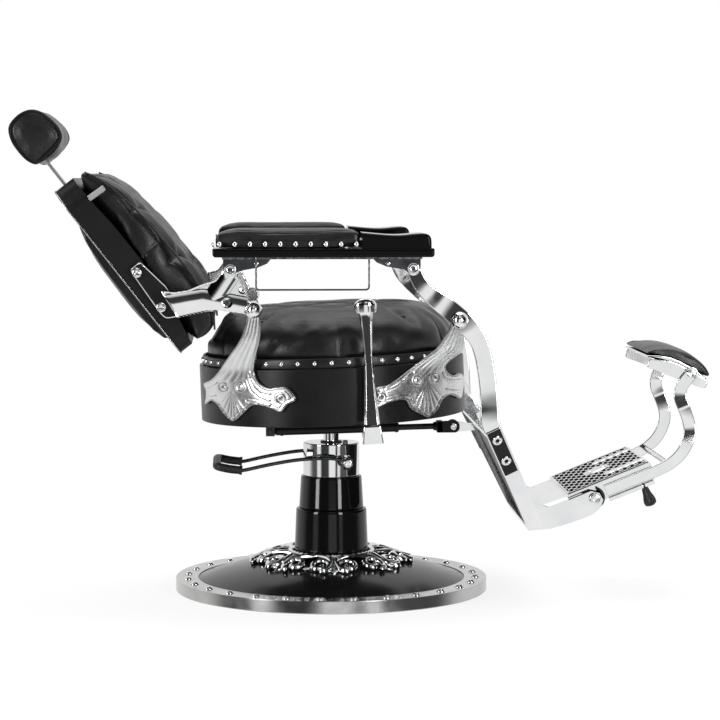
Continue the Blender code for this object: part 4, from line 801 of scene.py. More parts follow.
def pump_line(points):
    """Both sides of the U-shaped lever through its rounded far end."""
    near = [(x, -PUMP_HALF, z) for x, z in points]
    far = [(x, PUMP_HALF, z) for x, z in reversed(points)]
    (start_x, start_z), (end_x, end_z), bend = points[-1], (-0.2385, 0.266), 0.02
    turn = []
    for i in range(1, 12):
        angle = math.pi * i / 12
        share = math.sin(angle)
        across = PUMP_HALF - bend * (1 - abs(math.cos(angle)))
        side = -1 if angle < math.pi / 2 else 1
        turn.append((start_x + (end_x - start_x) * share, side * across, start_z + (end_z - start_z)
                     * share))
    return near + turn + far


def make_pump_lever():
    x, z = PUMP_AXIS
    side_path = [(x - 0.004, z + 0.001), (0.012, 0.2785), (-0.006, 0.281), (-0.066, 0.279),
                 (-0.127, 0.2695), (-0.181, 0.258)]
    grip_path = [(-0.186, 0.2575), (-0.212, 0.2605), (-0.229, 0.264)]
    hub = collar(0.0056, 0.0115, -0.0048, 0.0048)
    rod = [tube(pump_line(smooth(side_path + grip_path, 6)), 0.0038, 14)]
    rod += [moved(hub, sideways(PUMP_AXIS, PUMP_HALF, side)) for side in (-1, 1)]
    piece("pump_lever_rod", joined(*rod), "pump_lever", "dark_steel", ("pump_lever",), 40)
    shaft = [moved(pin(0.0054, 0.088, steps=32), facing((x, 0, z), (0, 1, 0)))]
    shaft += [bolt(sideways(PUMP_AXIS, PUMP_HALF + 0.0049, side), 0.0092, 0.0045) for side in (-1, 1)]
    piece("pump_shaft_bolts", joined(*shaft), "pump_lever", "chrome", ("pump_shaft",), 40)
    line = pump_line(smooth(grip_path, 8))
    sizes = np.full(len(line), 0.0086)
    sizes[:2] = sizes[-2:] = 0.0096
    sizes[2:4] = sizes[-4:-2] = 0.0084
    piece("pump_grip_rubber", tube(line, sizes, 20), "pump_lever", "rubber", ("pump_grip",), 50)


# ------------------------------------------------------------------ seat
DRUM_RADIUS, DRUM_HEIGHT, BAND_RADIUS = 0.2745, 0.115, 0.268
BAND_LOW = DRUM_HEIGHT + 0.0003
BAND_HIGH = BAND_LOW + 0.02
TUFT, TUFT_DEPTH = 0.14, 0.0085
BUTTON_RADIUS = 0.0085
NAIL_COUNT, NAIL_RADIUS = 49, 0.005
SEAT_SEAMS = [math.radians(a) for a in (-88, -30, 30, 88, 150, 210)]


def tuft_drop(plane, segments, buttons, depth):
    """How far a tufted face is pulled in: a broad pillow, a fine crease and the buttons."""
    d = near_segments(plane, segments)
    b = near_points(plane, buttons)
    return depth * (0.62 * hill(d, 0.017, 1.6) + 0.3 * hill(d, 0.0038) + 0.95 * hill(b, 0.017))


def button_caps(places, direction):
    return studs([(place, direction) for place in places], BUTTON_RADIUS, 0.9, 24)


def seat_layout():
    """Buttons and creases of the seat, as (x, y)."""
    buttons = []
    for i in range(-4, 5):
        for j in range(-4, 5):
            place = (i * TUFT / 2, j * TUFT / 2)
            if (i + j) % 2 == 0 and math.hypot(*place) < 0.205:
                buttons.append(place)
    segments = []
    for a in buttons:
        for step in (TUFT / 2, -TUFT / 2):
            b = (a[0] + TUFT / 2, a[1] + step)
            if any(math.dist(b, c) < 1e-6 for c in buttons):
                segments.append((a, b))
        if math.hypot(*a) > 0.15:
            segments.append((a, tuple(Vector(a).normalized() * 0.262)))
    return buttons, segments


def rear_limit(x):
    """Height the cushion keeps below where the backrest's foot comes down."""
    return np.interp(x, [-0.4, -0.274, -0.249, -0.2285, -0.217, -0.206],
                     [0.502, 0.507, 0.522, 0.557, 0.585, 0.7])


def make_seat_cushion():
    side = [(0.0, 0.112), (0.06, 0.1118), (0.12, 0.1108), (0.18, 0.107), (0.225, 0.0985), (0.252, 0.083),
            (0.266, 0.064), (0.269, 0.046), (0.267, 0.029), (0.264, 0.021)]
    profile = [(r, BAND_LOW + z) for r, z in smooth(side, 4)]
    profile += [(0.258, BAND_HIGH + 0.0004), (0.2575, BAND_LOW + 0.0006), (0.0, BAND_LOW + 0.0006)]
    obj = soft("seat_cushion_leather", moved(lathe(profile, 128), SEAT), 0.005, 3, 0.012,
               lambda points: local(points, SEAT)[:, 2] < BAND_HIGH + 0.003)
    buttons, segments = seat_layout()
    up = np.array(SEAT.to_3x3() @ Vector((0, 0, 1)))

    def quilt(points, normals):
        at = local(points, SEAT)
        radius = np.hypot(at[:, 0], at[:, 1])
        top = ease(at[:, 2], BAND_LOW + 0.06, BAND_LOW + 0.092) * ease(normals @ up, 0.05, 0.5)
        drop = tuft_drop(at[:, :2], segments, buttons, TUFT_DEPTH) * top
        angle = np.arctan2(at[:, 1], at[:, 0])
        seam = np.min([np.abs((angle - place + math.pi) % TAU - math.pi) * radius for place in SEAT_SEAMS],
                      axis=0)
        sides = ease(radius, 0.225, 0.255) * ease(at[:, 2], BAND_HIGH, BAND_HIGH + 0.01)
        groove = (0.0022 * hill(seam, 0.0028) + 0.0016 * hill(seam, 0.016)) * sides
        return -up * drop[:, None] - normals * groove[:, None]

    def cut_rear(points, _):
        over = points[:, 2] - rear_limit(points[:, 0])
        soft_over = 0.5 * (over + np.sqrt(over**2 + 0.006**2)) * ease(-points[:, 0], 0.185, 0.205)
        soft_over *= local(points, SEAT)[:, 2] > BAND_HIGH
        return np.outer(-soft_over, (0, 0, 1))

    push(obj, quilt)
    push(obj, cut_rear)
    settle(obj, "seat", "leather", ("seat_cushion",), 60)
    at = local(points_of(obj), SEAT)
    places = []
    for x, y in buttons:
        if x >= -0.19:
            near = np.hypot(at[:, 0] - x, at[:, 1] - y) + (at[:, 2] < BAND_LOW + 0.06)
            places.append(SEAT @ Vector((x, y, at[np.argmin(near), 2] - 0.0004)))
    piece("seat_buttons", button_caps(places, tuple(up)), "seat", "leather")


def make_seat():
    inner = DRUM_RADIUS - 0.0125
    wall = fillet([(0.0, 0.012), (inner, 0.012), (inner, DRUM_HEIGHT), (DRUM_RADIUS, DRUM_HEIGHT),
                   (DRUM_RADIUS, 0.0), (0.0, 0.0)], 0.0022, 4, False)
    piece("seat_drum_turned", moved(lathe(wall, 180), SEAT), "seat", "satin_black", ("seat_drum",), 50)
    paint(NODES["seat_board"], "wood")
    refined("seat_mount", "seat", "cast_iron")
    refined("recline_block", "seat", "dark_steel")
    band = fillet([(BAND_RADIUS - 0.006, BAND_LOW), (BAND_RADIUS - 0.0004, BAND_LOW),
                   (BAND_RADIUS, BAND_LOW + 0.01), (BAND_RADIUS - 0.0014, BAND_HIGH),
                   (BAND_RADIUS - 0.006, BAND_HIGH)], 0.003, 5)
    piece("seat_band_leather", moved(lathe(band, 180, closed=True), SEAT), "seat", "leather",
          ("seat_nail_band",), 60)
    places = []
    for angle in TAU * (np.arange(NAIL_COUNT) + 0.5) / NAIL_COUNT:
        out = Vector((math.cos(angle), math.sin(angle), 0.0))
        places.append((SEAT @ (out * (BAND_RADIUS - 0.0006) + Vector((0, 0, BAND_LOW + 0.01))),
                       SEAT.to_3x3() @ out))
    piece("seat_nails", studs(places, NAIL_RADIUS), "seat", "chrome")
    make_seat_cushion()


# ------------------------------------------------------------------ leaf brackets
# Each leaf has its outline, the two edges of its neck, the fan's centre with the ends of its veins,
# rosettes and raised bands, all as (x, z).
BRACKETS = {
    "rear": dict(
        outline=[(-0.174, 0.59), (-0.179, 0.57), (-0.1845, 0.55), (-0.1937, 0.53), (-0.2066, 0.509),
            (-0.2197, 0.487), (-0.232, 0.466), (-0.247, 0.449), (-0.256, 0.443), (-0.2635, 0.437),
            (-0.259, 0.424), (-0.259, 0.408), (-0.2615, 0.394), (-0.2479, 0.4056), (-0.236, 0.4015),
            (-0.2202, 0.3821), (-0.203, 0.3695), (-0.1843, 0.3848), (-0.171, 0.399), (-0.164, 0.4045),
            (-0.1418, 0.405), (-0.124, 0.399), (-0.1081, 0.3935), (-0.0968, 0.4085), (-0.0785, 0.4195),
            (-0.096, 0.444), (-0.1136, 0.444), (-0.1333, 0.4415), (-0.15, 0.45), (-0.1605, 0.47),
            (-0.16, 0.488), (-0.1555, 0.511), (-0.1505, 0.532), (-0.148, 0.553), (-0.1478, 0.572),
            (-0.152, 0.59)],
        left=[(-0.176, 0.582), (-0.1825, 0.556), (-0.1937, 0.53), (-0.2066, 0.509), (-0.2197, 0.487),
            (-0.232, 0.466), (-0.248, 0.448)],
        right=[(-0.1485, 0.582), (-0.1485, 0.553), (-0.1505, 0.532), (-0.1555, 0.511), (-0.16, 0.49),
            (-0.162, 0.47), (-0.169, 0.45)],
        fan=((-0.2028, 0.43), [(-0.23, 0.396), (-0.22, 0.385), (-0.211, 0.376), (-0.203, 0.3715),
                (-0.195, 0.377), (-0.185, 0.387), (-0.176, 0.396)]),
        rosettes=[(-0.2214, 0.437), (-0.187, 0.4402), (-0.108, 0.4215)],
        bands=[[(-0.168, 0.47), (-0.16, 0.447), (-0.146, 0.434), (-0.128, 0.43)],
               [(-0.17, 0.455), (-0.163, 0.436), (-0.148, 0.424), (-0.13, 0.417)],
               [(-0.172, 0.415), (-0.15, 0.412), (-0.13, 0.407)],
               [(-0.233, 0.444), (-0.246, 0.434), (-0.262, 0.428)],
               [(-0.236, 0.418), (-0.248, 0.414), (-0.262, 0.404)]]),
    "front": dict(
        outline=[(0.229, 0.572), (0.225, 0.558), (0.2134, 0.5368), (0.2, 0.516), (0.185, 0.5045),
            (0.1711, 0.494), (0.1508, 0.4801), (0.1303, 0.4652), (0.114, 0.4545), (0.0982, 0.447),
            (0.0781, 0.4445), (0.082, 0.424), (0.077, 0.403), (0.104, 0.4124), (0.124, 0.4165),
            (0.1392, 0.415), (0.1481, 0.3989), (0.169, 0.386), (0.1873, 0.3785), (0.2059, 0.393),
            (0.216, 0.4105), (0.2316, 0.418), (0.247, 0.413), (0.26, 0.406), (0.2668, 0.4227),
            (0.2691, 0.45), (0.2558, 0.4595), (0.2435, 0.4565), (0.229, 0.464), (0.2219, 0.476),
            (0.23, 0.488), (0.2485, 0.499), (0.2594, 0.5065), (0.261, 0.524), (0.257, 0.545),
            (0.256, 0.562), (0.25, 0.572)],
        left=[(0.229, 0.566), (0.2134, 0.5368), (0.2, 0.515), (0.1711, 0.494), (0.1508, 0.4801),
            (0.1303, 0.4652), (0.112, 0.4535)],
        right=[(0.256, 0.562), (0.257, 0.54), (0.25, 0.515), (0.228, 0.495), (0.212, 0.479), (0.206, 0.468),
            (0.196, 0.464)],
        fan=((0.1812, 0.45), [(0.15, 0.401), (0.16, 0.393), (0.174, 0.386), (0.1873, 0.3805), (0.199, 0.39),
                (0.208, 0.399), (0.216, 0.413)]),
        rosettes=[(0.1609, 0.4536), (0.1997, 0.4565), (0.088, 0.4235)],
        bands=[[(0.15, 0.47), (0.132, 0.455), (0.112, 0.444), (0.098, 0.44)],
               [(0.146, 0.424), (0.124, 0.424), (0.1, 0.42)],
               [(0.226, 0.452), (0.242, 0.449), (0.262, 0.446)],
               [(0.224, 0.432), (0.242, 0.428), (0.26, 0.424)],
               [(0.216, 0.466), (0.22, 0.456), (0.232, 0.45)]])}
BRACKET_HALF, PIVOT_BALL = 0.004, 0.017
NECK_FOOT, NECK_TOP, EYE_MIDDLE = 0.474, 0.588, 0.288


def bracket_middle(x, z):
    """How far from the middle plane a bracket stands: on the drum below, leaning out to the pivot above."""
    radius = DRUM_RADIUS + 0.0006 + BRACKET_HALF
    level = local(np.column_stack([x, np.zeros(len(x)), z]), SEAT)[:, 0]
    on_drum = np.sqrt(np.maximum(radius**2 - level**2, 0.045**2))
    share = (z - NECK_FOOT) / (NECK_TOP - NECK_FOOT)
    lean = np.clip(0.5 * (share + np.sqrt(share**2 + 0.09**2)) - 0.002, 0.0, 1.0)
    return (1 - lean) * on_drum + lean * EYE_MIDDLE, level / radius, lean


def polyline(points):
    return list(zip(points, points[1:]))


def bracket_relief(flat, form):
    """Height of the leaf's veins, flutes, rims and rosettes."""
    outline = smooth(form["outline"], 3, True)
    rim = near_segments(flat, polyline(outline + outline[:1]))
    height = 0.0006 * hill(rim - 0.0028, 0.0018) - 0.0007 * hill(rim - 0.0066, 0.0011)

    def neck_line(share):
        """Distance to a line that runs between the neck's edges at a share of its width."""
        pairs = zip(form["left"], form["right"])
        return near_segments(flat, polyline([((1 - share) * a[0] + share * b[0], (1 - share) * a[1] + share
                                              * b[1]) for a, b in pairs]))

    top = form["left"][0][1]
    deep = 0.0006 + 0.0014 * ease(flat[:, 1], top - 0.05, top - 0.035) * ease(top - flat[:, 1], -0.002,
                                                                              0.004)
    for share in (0.2, 0.4, 0.6, 0.8):
        height -= deep * hill(neck_line(share), 0.0012)
    for share in (0.1, 0.3, 0.5, 0.7, 0.9):
        height += 0.0005 * hill(neck_line(share), 0.0024)
    centre, ends = form["fan"]
    height -= 0.0006 * hill(near_segments(flat, [(centre, end) for end in ends]), 0.0011)
    halves = [(centre, tuple((np.array(a) + np.array(b)) / 2)) for a, b in polyline(ends)]
    height += 0.0003 * hill(near_segments(flat, halves), 0.003)
    d = near_segments(flat, [segment for band in form["bands"] for segment in polyline(band)])
    height += 0.0006 * hill(d, 0.0016) - 0.0006 * hill(d - 0.0036, 0.001)
    for place in form["rosettes"]:
        r = np.linalg.norm(flat - np.array(place), axis=1)
        height = height * ease(r, 0.009, 0.013)
        height += 0.0022 * hill(r, 0.0036) - 0.0009 * hill(r - 0.0062, 0.0011)
        height += 0.0006 * hill(r - 0.0088, 0.0015) - 0.0007 * hill(r - 0.0112, 0.001)
    return height


def make_bracket(position, name, side, pivot_place):
    """A leaf plate bent round the drum, with a fluted neck that leans out to the pivot's eye."""
    form = BRACKETS[position]
    node = position + "_bracket_" + name
    plate = slab(smooth(form["outline"], 4, True), -BRACKET_HALF, BRACKET_HALF, 0.0022, 3)
    obj = remeshed(node + "_cast", plate, 0.0012, 2)
    points = points_of(obj)
    relief = bracket_relief(points[:, [0, 2]], form)
    depth = points[:, 1] + relief * ease(points[:, 1], 0.0, 0.0022)
    depth *= 1.0 - 0.45 * ease(np.abs(points[:, 0] - 0.005), 0.235, 0.262)
    middle, turn, lean = bracket_middle(points[:, 0], points[:, 2])
    straight = np.sqrt(np.maximum(1 - turn**2, 0.0))
    x = points[:, 0] + depth * turn * (1 - lean)
    y = middle + depth * (straight * (1 - lean) + lean)
    put_points(obj, np.column_stack([x, side * y, points[:, 2]]))
    if side > 0:
        obj.data.flip_normals()
    settle(obj, "seat", "cast_chrome", (node,), 70)
    eye = moved(pin(0.0135, BRACKET_HALF, 0.0014, 4, 48), sideways(pivot_place, EYE_MIDDLE, side))
    piece(node + "_eye", eye, "seat", "cast_chrome", (), 50)


def make_brackets():
    for name, side in SIDES:
        make_bracket("rear", name, side, RECLINE)
        make_bracket("front", name, side, LEG_PIVOT)
    ball = [(0.0, 0.0275), (0.0042, 0.0275), (0.005, 0.0296)]
    for i in range(1, 13):
        angle = math.radians(90 - 140 * i / 12)
        ball.append((PIVOT_BALL * math.cos(angle), 0.0133 + PIVOT_BALL * math.sin(angle)))
    ball += [(0.0132, 0.0003), (0.0132, -0.0001), (0.008, -0.0001), (0.008, -0.01), (0.0, -0.01)]
    for position, place in (("rear", RECLINE), ("front", LEG_PIVOT)):
        for name, side in SIDES:
            node = position + "_pivot_" + name
            piece(node + "_ball", moved(lathe(ball, 64), sideways(place, LINK_OUTER, side)), "seat",
                  "chrome", (node,), 40)


# ------------------------------------------------------------------ levers and strut
# Height, half width, half depth and roundness of the lever's sections; the foot's have no roundness.
LEVER_STATIONS = [(0.0235, 0.016, 0.01, 0.0), (0.05, 0.014, 0.0095, 0.0), (0.1, 0.0104, 0.0085, 0.0),
    (0.15, 0.0082, 0.0075, 0.0), (0.18, 0.009, 0.0075, 0.0), (0.21, 0.0106, 0.008, 0.0),
    (0.234, 0.0128, 0.009, 0.2), (0.244, 0.0175, 0.011, 0.7), (0.252, 0.0218, 0.015, 1.0),
    (0.26, 0.022, 0.016, 1.0), (0.266, 0.0185, 0.0145, 1.0), (0.271, 0.0105, 0.0085, 1.0),
    (0.2722, 0.003, 0.003, 1.0)]
LEVER_FOOT = [(-0.0145, 0.02, 0.0124), (-0.013, 0.0206, 0.013), (0.018, 0.0172, 0.0142),
    (0.0205, 0.0164, 0.0136)]


def lever_ring(height, wide, deep, roundness):
    """A section of the lever: a slanted flat between steep flanks, which turns round towards the knob."""
    rim = np.array(fillet([(-1, -0.5), (-1, -0.15), (-0.7, 0.5), (0.7, 1.0), (1, 0.25), (1, -0.5),
                           (0.6, -1.0), (-0.6, -1.0)], 0.1, 3))
    rim = np.stack([rim + (np.roll(rim, -1, axis=0) - rim) * t for t in (0.0, 0.25, 0.5, 0.75)],
                   axis=1).reshape(-1, 2)
    share = float(np.clip(roundness, 0, 1))
    rim = (1 - share) * rim + share * unit(rim)
    return np.column_stack([rim[:, 0] * wide, -rim[:, 1] * deep, np.full(len(rim), height)])


def make_recline_lever():
    x, z = pivot("recline_lever_pull")
    matrix = Matrix.Translation((x, -0.3, z)) @ Matrix.Rotation(math.radians(-3.2), 4, "Y")
    bar = sections([lever_ring(*station) for station in smooth(LEVER_STATIONS, 5)])
    foot = []
    for height, wide, deep in LEVER_FOOT:
        foot.append(np.array([(a, b, height) for a, b in fillet(rectangle((-wide, -deep), (wide, deep)),
                                                                0.003, 4)]))
    axle = lathe([(0.0, 0.012), (0.0059, 0.012), (0.0059, -0.024), (0.0, -0.024)], 32)
    shape = joined(moved(joined(bar, sections(foot)), matrix), moved(axle, facing((x, -0.284, z),
                                                                                  (0, -1, 0))))
    piece("recline_hand_lever", shape, "recline_lever", "chrome", ("recline_lever",), 40)


def make_strut():
    rear, front, y = (-0.1285, 0.342), (0.244, 0.352), -0.12
    length = math.dist(rear, front)
    direction = (front[0] - rear[0], 0.0, front[1] - rear[1])
    at = facing((rear[0], y, rear[1]), direction)
    cylinder = fillet([(0.0, 0.006), (0.006, 0.006), (0.009, 0.014), (0.009, 0.262), (0.0064, 0.262)],
                      0.0012, 3, False)
    collars = [collar(0.0088, 0.0103, low, low + 0.006, 0.0012, 36) for low in (0.02, 0.254)]
    eye = moved(pin(0.0088, 0.008, steps=36), facing((rear[0], y, rear[1]), (0, 1, 0)))
    shape = joined(moved(joined(lathe(cylinder, 40), *collars), at), eye)
    piece("strut_tube", shape, "strut_cylinder", "satin_black", ("strut_cylinder",), 40)
    rod = lathe([(0.0, 0.11), (0.0061, 0.11), (0.0061, length - 0.009), (0.0, length - 0.009)], 36)
    yoke = lathe(fillet([(0.006, length - 0.04), (0.0085, length - 0.04), (0.0105, length - 0.012),
                         (0.006, length - 0.01)], 0.001, 3), 36, closed=True)
    eye = moved(pin(0.0125, 0.0095, 0.0012), facing((front[0], y, front[1]), (0, 1, 0)))
    fork = fillet([(-0.034, -0.0115), (0.006, -0.0125), (0.0125, -0.006), (0.0125, 0.006), (0.006, 0.0125),
                   (-0.034, 0.0115)], 0.004, 4)
    bridge = fillet(rectangle((-0.034, -0.0115), (-0.021, 0.0115)), 0.002, 3)
    lay = Matrix.Translation((front[0], y, front[1])) @ Matrix.Rotation(-math.atan2(direction[2],
                                                                                    direction[0]), 4, "Y")
    shape = joined(moved(joined(rod, yoke), at), eye, slab(fork, -0.0178, -0.0212, 0.0008, 3, lay),
                   slab(bridge, -0.0212, 0.0095, 0.0015, 3, lay))
    piece("strut_rod_eye", shape, "strut_rod", "satin_black", ("strut_rod",), 40)
    piece("strut_bolt", bolt(sideways(front, 0.0212 - y, -1), 0.007, 0.003), "strut_rod", "chrome")
    piece("strut_rear_bolt", bolt(sideways(rear, 0.008 - y, -1), 0.006, 0.003), "strut_cylinder", "chrome")


# ------------------------------------------------------------------ backrest and headrest
HALF_BACK, CUSHION_HALF, BACK_TUFT_DEPTH = 0.25, 0.2475, 0.0105
# Heights up the backrest with the places of their buttons across it.
BACK_BUTTON_ROWS = [(0.262, (-0.12, 0.0, 0.12)), (0.2, (-0.18, -0.06, 0.06, 0.18)),
    (0.138, (-0.12, 0.0, 0.12)), (0.076, (-0.18, -0.06, 0.06, 0.18)), (0.014, (-0.12, 0.0, 0.12))]
BACK_FRONT = [(0.0445, 0.3195), (0.05, 0.329), (0.063, 0.3315), (0.076, 0.32), (0.088, 0.298),
    (0.103, 0.25), (0.114, 0.18), (0.118, 0.1), (0.118, 0.02), (0.111, -0.045), (0.09, -0.08),
    (0.056, -0.09), (0.0272, -0.086)]
BACK_REAR = [(0.0272, -0.086), (0.0395, -0.02), (0.0475, 0.04), (0.0525, 0.115), (0.0515, 0.2),
    (0.0475, 0.255), (0.0445, 0.316)]
BACK_WELT = [(0.078, 0.318), (0.089, 0.298), (0.1035, 0.25), (0.1145, 0.18), (0.1185, 0.1), (0.1185, 0.02),
    (0.1115, -0.045), (0.088, -0.083)]
STRAP = [(-0.385, 0.694), (-0.406, 0.677), (-0.395, 0.66), (-0.347, 0.591), (-0.335, 0.58), (-0.3, 0.586),
    (-0.333, 0.644)]
STRAP_BOLTS = [(-0.391, 0.671), (-0.344, 0.603)]
STRAP_FACE = 0.2622


def in_back(n, y, s):
    """A point of the backrest: n out of its front, s up it."""
    return BACK @ Vector((n, y, s))


def back_layout():
    """Buttons and seams of the tufted front as (y, s)."""
    buttons = [(y, s) for s, row in BACK_BUTTON_ROWS for y in row]
    segments = []
    for (s0, row0), (s1, row1) in zip(BACK_BUTTON_ROWS, BACK_BUTTON_ROWS[1:]):
        segments += [((a, s0), (b, s1)) for a in row0 for b in row1 if abs(a - b) < 0.07]
    for s, row in BACK_BUTTON_ROWS:
        if len(row) == 4:
            segments += [((y, s), (math.copysign(0.256, y), s)) for y in (row[0], row[-1])]
    segments += [((y, 0.262), (y * 1.12, 0.34)) for y in BACK_BUTTON_ROWS[0][1]]
    segments += [((y, 0.014), (y * 1.06, -0.1)) for y in BACK_BUTTON_ROWS[-1][1]]
    for sign in (-1, 1):
        segments += [((sign * 0.12, 0.262), (sign * 0.256, 0.33)), ((sign * 0.12, 0.014),
                                                                    (sign * 0.256, -0.05))]
    return buttons, segments


def make_back_cushion():
    outline = BACK_REAR[:-1] + smooth(BACK_FRONT, 5)[:-1]
    depths, heights = zip(*BACK_REAR)

    def held(points):
        at = local(points, BACK)
        return at[:, 0] < np.interp(at[:, 2], heights, depths) + 0.0045

    obj = soft("backrest_cushion_leather", slab(outline, -CUSHION_HALF, CUSHION_HALF, 0.014, 5, BACK),
               0.0052, 3, 0.014, held)
    buttons, segments = back_layout()
    out = np.array(BACK.to_3x3() @ Vector((1, 0, 0)))
    surface = local(points_of(obj), BACK)

    def quilt(points, normals):
        at = local(points, BACK)
        facing_front = ease(normals @ out, 0.15, 0.6) * ease(at[:, 0], 0.055, 0.085)
        drop = tuft_drop(at[:, 1:], segments, buttons, BACK_TUFT_DEPTH) * facing_front
        side = ease(np.abs(at[:, 1]), 0.225, 0.24)
        upright = np.interp(at[:, 2], [-0.09, 0.1, 0.25, 0.33], [0.096, 0.1035, 0.09, 0.062])
        seam = np.minimum(np.abs((at[:, 2] - 0.1175) - (at[:, 0] - 0.052) * 0.1), np.abs(at[:, 0]
                                                                                         - upright))
        groove = (0.002 * hill(seam, 0.003) + 0.0012 * hill(seam, 0.012)) * side
        groove *= ease(at[:, 0], 0.05, 0.056)
        return -out * drop[:, None] - normals * groove[:, None]

    push(obj, quilt)
    settle(obj, "backrest", "leather", ("backrest_cushion",), 60)
    depths = local(points_of(obj), BACK)[:, 0]
    places = []
    for y, s in buttons:
        near = np.hypot(surface[:, 1] - y, surface[:, 2] - s) + (surface[:, 0] < 0.075)
        places.append(in_back(depths[np.argmin(near)] - 0.0006, y, s))
    piece("backrest_buttons", button_caps(places, tuple(out)), "backrest", "leather")
    for name, side in SIDES:
        welt = [in_back(n - 0.0085, side * 0.2465, s) for n, s in smooth(BACK_WELT, 6)]
        piece("backrest_welt_" + name, tube(welt, 0.0021, 10), "backrest", "leather")


def make_back_panel():
    obj = soft("backrest_panel_leather", node_shape("backrest_panel"), 0.0048, 6, 0.006,
               lambda points: local(points, BACK)[:, 0] > -0.005)
    back = np.array(BACK.to_3x3() @ Vector((-1, 0, 0)))

    def seams(points, normals):
        at = local(points, BACK)
        around = np.minimum(0.222 - np.abs(at[:, 1]), np.minimum(at[:, 2] + 0.05, 0.264 - at[:, 2]))
        groove = 0.0024 * hill(around - 0.03, 0.0032) * ease(normals @ back, 0.3, 0.8)
        swell = 0.0014 * ease(around, 0.034, 0.075)
        return back * (swell - groove)[:, None]

    push(obj, seams)
    settle(obj, "backrest", "leather", ("backrest_panel",), 60)


def make_back_frame():
    refined("backrest_frame", "backrest", "satin_black", 0.0022)
    refined("backrest_trim", "backrest", "brushed_steel", 0.0009)
    outline = fillet(STRAP, 0.007, 5)
    for name, side in SIDES:
        piece("back_strap_plate_" + name, slab(outline, side * (HALF_BACK + 0.0003), side * STRAP_FACE,
                                               0.0015), "backrest", "satin_black", ("back_strap_" + name,))
        piece("back_strap_rim_" + name, rim_tube(shrunk(outline, 0.0016), side * STRAP_FACE, 0.0015),
              "backrest", "chrome")
        heads = [bolt(sideways(place, STRAP_FACE, side), 0.0098, 0.0052) for place in STRAP_BOLTS]
        piece("back_strap_bolts_" + name, joined(*heads), "backrest", "chrome")
        make_casting(name, side)
    tag = fillet(rectangle((-0.019, -0.006), (0.019, 0.006)), 0.002, 4)
    place = Matrix.Translation(in_back(0.0635, -0.2508, 0.2715)) @ Matrix.Rotation(math.radians(-35.5), 4,
                                                                                   "Y")
    piece("backrest_tag", slab(tag, -0.0012, 0.0008, 0.0005, 3, place), "backrest", "cast_chrome")
    piece("backrest_tag_rim", rim_tube(shrunk(tag, 0.0008), -0.0012, 0.0007, place), "backrest", "chrome")


CASTING_SPINES = [((-0.335, 0.608), (-0.262, 0.62)), ((-0.262, 0.62), (-0.172, 0.603)), ((-0.24, 0.622),
        (-0.206, 0.672))]
# Centre, size and depth of the casting's dents.
CASTING_DENTS = [((-0.215, 0.613), 0.0075, 0.003), ((-0.183, 0.64), 0.006, 0.002)]


def make_casting(name, side):
    node = "back_casting_" + name
    obj = remeshed(node + "_cast", node_shape(node), 0.0015, 7)

    def relief(points, normals):
        flat = points[:, [0, 2]]
        face = ease(side * points[:, 1], LINK_INNER + 0.003, LINK_INNER + 0.006)
        face *= ease(side * normals[:, 1], 0.4, 0.9)
        depth = 0.0034 * np.minimum(near_segments(flat, CASTING_SPINES) / 0.02, 1.0) ** 2
        for centre, size, deep in CASTING_DENTS:
            depth += deep * hill(near_points(flat, [centre]), size, 3)
        for centre in (RECLINE, ARM_REAR):
            depth *= ease(near_points(flat, [centre]), 0.013, 0.02)
        return -normals * (depth * face)[:, None]

    push(obj, relief)
    settle(obj, "backrest", "chrome", (node,), 60)
    screw = bolt(sideways((-0.215, 0.613), LINK_OUTER - 0.0032, side), 0.0062, 0.0018)
    piece("casting_screw_" + name, screw, "backrest", "dark_steel")


HEAD_HALF = 0.111
HEAD_SECTION = [(-0.004, 0.3925), (0.026, 0.3905), (0.056, 0.395), (0.074, 0.405), (0.081, 0.425),
    (0.0785, 0.452), (0.07, 0.478), (0.053, 0.4935), (0.026, 0.4985), (-0.002, 0.4905), (-0.016, 0.466),
    (-0.019, 0.435), (-0.015, 0.408)]


